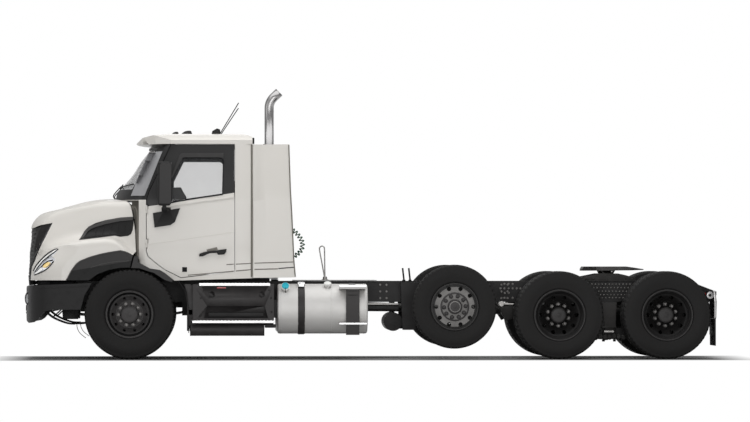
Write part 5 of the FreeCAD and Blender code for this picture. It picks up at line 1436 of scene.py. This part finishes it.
def tanks():
    """Fillers, the straps' faces and brackets, the tanks' seams and the treads and faces of their steps."""
    neck, cap = filler(-1948, 1042, 884, 1.0, 56, 43, 80)
    piece("urea_neck", neck, "white_plastic")
    piece("urea_cap", cap, "cyan")
    cord = rod([(-1948, 1120, 905), (-1948, 1150, 880), (-1948, 1160, 846)], 3, 8)
    piece("urea_tag", joined(cord, lathe([(0, 9), (3, 9), (3.5, 1)], (-1948, 1158, 842), LEFT, 16)), "black")
    neck, cap = filler(-2479, 1000, 905, 0.5, 50, 44, 60)
    piece("fuel_neck", both(neck), "alu")
    piece("fuel_cap", both(cap), "white_plastic")
    bands = []
    for x in (-2148, -2788):
        bands.append(hoop(x, [(-41, 317), (-38, 320), (-20, 322), (20, 322), (38, 320), (41, 317)]))
        bands += [hoop(x + s, [(-4, 321), (-3, 324), (3, 324), (4, 321)]) for s in (-26, 26)]
    piece("strap_faces", both(*bands), "panel")
    tops = [box(-2190, -2106, 900, 1010, 936, 966, 6), box(-2180, -2116, 985, 1060, 905, 950, 8)]
    tops += [hexagon((x, 1020, 946), (0, 0.5, 0.86), 22, 20) for x in (-2165, -2131)]
    piece("strap_brackets", both(*tops), "tread")
    seams = [hoop(x, [(-6, 311.5), (-4, 314), (4, 314), (6, 311.5)]) for x in (-1890, -2520, -2936)]
    piece("tank_seams", both(*seams), "alu")
    treads = []
    for x0, x1, z0, z1 in ((-2956, -2620, 902, 934), (-2962, -2622, 434, 460)):
        treads.append(box(x0, x1, 1196, 1217, z0, z1, 5))
        treads += [lathe([(0, 11), (3, 10), (3.5, 5), (0, 4), (0, 1)], (x, 1150, z1 - 3), UP, 10)
                   for x in np.arange(x0 + 26, x1 - 10, 36)]
    piece("tank_treads", both(*treads), "tread")
    face = [box(-2872, -2704, 1198, 1203, 306, 865, 2), box(-2850, -2726, 1200, 1207, 800, 850, 6)]
    piece("tank_step_faces", both(*face), "panel")


def frame_fasteners():
    """Bolt heads on the rails and the hanger plates, pipes and valves along the frame."""
    rows = ((284, (504.5, 508.5, 512.7)), (288.5, (500.5, 504.5, 508.7, 512.7, 516.8, 520.6)),
            (293, (504.8, 508.8)), (298, (504.5, 512.7)))
    places = seen_frame(*[(column, row) for row, columns in rows for column in columns])
    for x in (-3160, -3240, -3700, -3780, -4300, -4700, -4780, -2250, -1400, -1000, 60, 300, 700, 760, 1040):
        places += [(x, 930), (x, 845), (x, 760)]
    # Bolt heads and rivets are lighter than the black frame: their steel, with a painted highlight
    piece("rail_bolts", both(*[hexagon((x, RAIL_SIDE - 0.5, z), LEFT, 20, 11) for x, z in places]), "bolt")
    heads = []
    for row, z in enumerate((935, 890, 845, 800, 762)):
        heads += [lathe([(0, 12), (4.5, 10.32), (7.65, 6), (9, 0.96)], (x, 531.5, z), LEFT, 8)
                  for x in np.arange(-5800 - (row % 2) * 22, -6330, -44)]
    piece("hanger_rivets", both(*heads), "bolt")
    pipes = [rod([(-2990, 430, 632), (-3200, 430, 630), (-3390, 430, 628)], 38)]
    pipes += [straight((x, 445, 1000), (x + 16, 445, 1142), 11) for x in (-3460, -3538)]
    pipes += [lathe([(0, 22), (14, 20), (22, 10), (22, 1)], (x, 445, 978), UP, 18) for x in (-3460, -3538)]
    piece("frame_pipes", joined(*pipes), "chassis")
    piece("bright_pipe", rod([(-3007, 440, 684), (-3200, 440, 684), (-3388, 440, 684)], 17), "steel")
    valves = [lathe([(0, 34), (40, 34), (50, 26), (50, 1)], (x, y, 860), UP, 24)
              for x, y in ((-4600, 200), (-4600, -200), (-2600, 0))]
    piece("frame_valves", joined(*valves), "cast")


def axle_parts():
    """Bellows of the lift axle, brake chambers, torque rods and their ends."""
    profile = [(0, 92), (4, 96), (22, 112)]
    for start in (22, 76, 130):
        profile += [(start + 27 * (1 - math.cos(a)), 96 + 16 * math.sin(a))
                    for a in np.linspace(0.2, math.pi - 0.2, 7)]
    profile += [(168, 96), (172, 90)]
    folds = [lathe(profile, (LIFT["x"], y, 540), UP, 48) for y in (385, -385)]
    piece("lift_bellows", joined(*folds), "bellows", "chassis", "lift_air_springs")
    rods = []
    chambers = []
    for kind, reach in zip(DRIVES, (-520, 520)):
        x = kind["x"]
        rods.append(straight((x, 300, 700), (x + reach, 300, 640), 26))
        rods.append(lathe([(-45, 48), (-40, 52), (40, 52), (45, 48)], (x, 300, 700), LEFT, 28))
        rods.append(straight((x, 300, 560), (x, 300, 700), 30))
        for y in (430, 600):
            drum = [(-95, 60), (-80, 78), (-8, 82), (0, 90), (8, 82), (80, 78), (98, 60), (98, 1)]
            chambers.append(lathe(drum, (x + 235, y, 470), AHEAD))
            chambers.append(box(x + 60, x + 150, y - 22, y + 22, 470, 560, 6))
    drum = [(-70, 56), (-60, 72), (-6, 76), (0, 84), (6, 76), (60, 72), (72, 50), (72, 1)]
    chambers.append(lathe(drum, (-4246, 600, 640), AHEAD))
    chambers.append(box(-4180, -4110, 578, 622, 610, 670, 6))
    piece("brake_chambers", both(*chambers), "chassis")
    piece("torque_rods", both(*rods), "chassis")
    x, z = seen_frame((498, 304))[0]
    eye = lathe([(-30, 30), (-26, 34), (26, 34), (30, 30)], (x - 40, 500, z), LEFT, 24)
    piece("torque_rod_ends", both(straight((x, 500, z), (x - 190, 500, z - 6), 15), eye), "steel")


def suspension_parts():
    """Saddles, clamps and hanger faces of the walking beams, front shock absorbers and shaft joints."""
    clamps = [slab(seen_frame((500, 306), (513, 306), (513, 318), (506, 321), (500, 312)), "xz", 440, 530, 6)]
    for x in (-6129, -5989):
        clamps.append(straight((x, 540, 400), (x, 540, 236), 13))
        clamps.append(hexagon((x, 540, 236), DOWN, 34, 22))
    clamps.append(box(-6150, -5968, 520, 566, 380, 404, 5))
    for x in np.arange(-6240, -5870, 58):
        foot = (x, 552, 268 + 9 * math.sin(x))
        clamps.append(lathe([(-22, 26), (-16, 33), (16, 33), (22, 26)], foot, LEFT, 10))
    piece("beam_saddles", both(*clamps), "cast")
    leg = slab(seen_frame((602, 302.5), (616.4, 302.5), (614.6, 331), (604.4, 331)), "xz", 536, 546, 4)
    piece("hanger_faces", both(leg), "hanger")
    piece("saddle_caps", both(box(-6120, -5998, 534, 552, 322, 352, 6)), "steel")
    shocks = [straight((150, 520, 560), (210, 520, 720), 30), straight((210, 520, 720), (250, 520, 830), 16),
              lathe([(-26, 26), (-22, 30), (22, 30), (26, 26)], (250, 520, 830), LEFT, 24)]
    piece("front_shocks", both(*shocks), "chassis")
    yoke = [(-60, 54), (-52, 66), (-30, 68), (-24, 56), (24, 56), (30, 68), (52, 66), (60, 54)]
    joints = [lathe(yoke, (x, 0, z), AHEAD)
              for x, z in ((-1190, 711), (-4990, 594), (-5610, 592), (-6350, 592))]
    piece("shaft_joints", joined(*joints), "cast")


def fifth_wheel_parts():
    """Grease grooves and release handle of the plate; bolts, pins and side wings of its base."""
    height = PLATE_TOP - 2.5
    grooves = [strip(spaced([(PLATE_X + 150, y, height), (PLATE_X - 190, y, height)], 10), 14, 2.2)
               for y in (110, 190, 270, 350)]
    piece("plate_grooves", both(*grooves), "shadow", "fifth_wheel")
    bar = rod([(PLATE_X - 60, 120, 1106), (PLATE_X - 60, 380, 1105), (PLATE_X - 40, 500, 1100),
               (PLATE_X - 20, 520, 1090)], 8, 10)
    piece("release_handle", bar, "steel", "fifth_wheel")
    pins = []
    for y in (330, -330):
        pins += [lathe([(0, 34), (8, 34), (12, 28), (12, 1)], (PLATE_X, y + s * 48, 1050), (0, s, 0), 28)
                 for s in (-1, 1)]
    for x in (PLATE_X + 290, PLATE_X + 200, PLATE_X - 200, PLATE_X - 290):
        pins += [hexagon((x, y, 991), UP, 26, 16) for y in (452, 400, -400, -452)]
    wing = [(400, 985), (396, 1030), (300, 1036), (206, 1055), (112, 1074), (-112, 1074), (-200, 1056),
            (-264, 1038), (-330, 1028), (-345, 985)]
    for s in (1, -1):
        pins.append(slab([(PLATE_X + a, b) for a, b in wing], "xz", s * 386, s * 440, 4))
        pins += [box(x - 13, x + 13, *span(s, 344, 392), 991, 1003, 3)
                 for x in np.arange(PLATE_X - 310, PLATE_X + 320, 48)]
    piece("base_fasteners", joined(*pins), "cast")


def tail():
    """Lamps, flap weights, flap ribs and tow parts at the frame's end."""
    lenses = []
    rings = []
    hold = []
    for s in (1, -1):
        marker = (-7272, s * 1196, 800)
        rings.append(lathe([(0, 44), (10, 46), (16, 42), (18, 30), (8, 26)], marker, (0, s, 0), 40))
        hold.append(lathe([(0, 33), (6, 32), (8, 20), (9, 1)], marker, (0, s, 0), 36))
        hold.append(box(-7345, -7262, *span(s, 1150, 1197), 786, 814, 5))
        for y in (260, 340, 420):
            lenses.append(lathe([(0, 34), (8, 33), (13, 22), (14, 1)], (TAIL_X, s * y, 810), BACK))
            rings.append(lathe([(0, 42), (9, 42), (12, 36), (6, 35)], (TAIL_X, s * y, 810), BACK, 36))
    piece("tail_lenses", joined(*lenses), "red")
    piece("tail_rings", joined(*rings), "chrome")
    piece("tail_panel", joined(box(TAIL_X, TAIL_X + 10, -470, 470, 752, 866, 4), *hold), "chassis")
    weight = slab(seen((714.6, 290.5), (716.6, 291), (718.0, 302), (717.6, 318), (715.4, 318), (715.6, 303)),
                  "xz", 1216, 1226, 4)
    piece("flap_weights", both(weight, box(-7348, -7320, 660, 1200, 505, 535, 5)), "chrome")
    ribs = [strip(spaced([(FLAP_X, y, 190), (FLAP_X, y, 490)], 6), 30, 3, BACK) for y in range(690, 1200, 80)]
    piece("flap_ribs", both(*ribs), "flap")
    hook = rod([(-7180, 640, 640), (-7200, 650, 560), (-7196, 650, 480)], 9, 10)
    piece("tail_hooks", both(hook, box(TAIL_X - 12, TAIL_X + 10, 380, 420, 700, 760, 6)), "chassis")


# Nodes whose shape is right, with their finish, which carries painted shade on the wheels and flares and a
# painted reflection on the windshield; a * stands for left and right
CARRIED = {
    "wheel_steer_*": "steer_disc", "wheel_lift_*": "grey_wheel", "wheels_drive_1_*": "dish",
    "wheels_drive_2_*": "dish", "front_axle_beam": "cast", "knuckle_*": "cast", "tie_rod": "cast",
    "suspension": "chassis", "frame_rails": "chassis", "crossmembers": "chassis",
    "chassis_brackets": "chassis", "front_bumper": "black", "hood_shell": "body", "fender_flares": "flare",
    "headlamps": "silver", "grilles": "black", "arch_trim": "grey", "cab_shell": "cab", "cab_glass": "screen",
    "door_*": "door", "door_glass_*": "glass", "mirror_*": "black", "cab_roof": "body", "aerials": "black",
    "dashboard": "trim", "side_extenders": "body", "step_boxes": "panel", "fuel_tanks": "alu",
    "tank_steps": "tank_step", "exhaust_stack": "chrome", "deck_plate": "deck", "rear_axles": "chassis",
    "fifth_wheel_plate": "plate", "fifth_wheel_base": "cast", "engine_block": "cast", "driveline": "cast",
    "radiator": "steel", "mud_guards": "flap", "tail_lamps": "red",
}


def carried_nodes():
    for word, skin_name in CARRIED.items():
        for node in [word.replace("*", side) for side in SIDES] if "*" in word else [word]:
            smoothed(node, skin_name)


def main():
    studio()
    air_lines()
    carried_nodes()
    tyres()
    wheels()
    seats()
    grille()
    lamps()
    vents()
    bumper()
    guard_bars()
    cab_seams()
    wipers()
    roof_pods()
    cab_inside()
    doors_trim()
    mirrors()
    rear_of_cab()
    stack()
    line_hardware()
    step_boxes()
    tanks()
    frame_fasteners()
    axle_parts()
    suspension_parts()
    fifth_wheel_parts()
    tail()


main()
low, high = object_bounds()
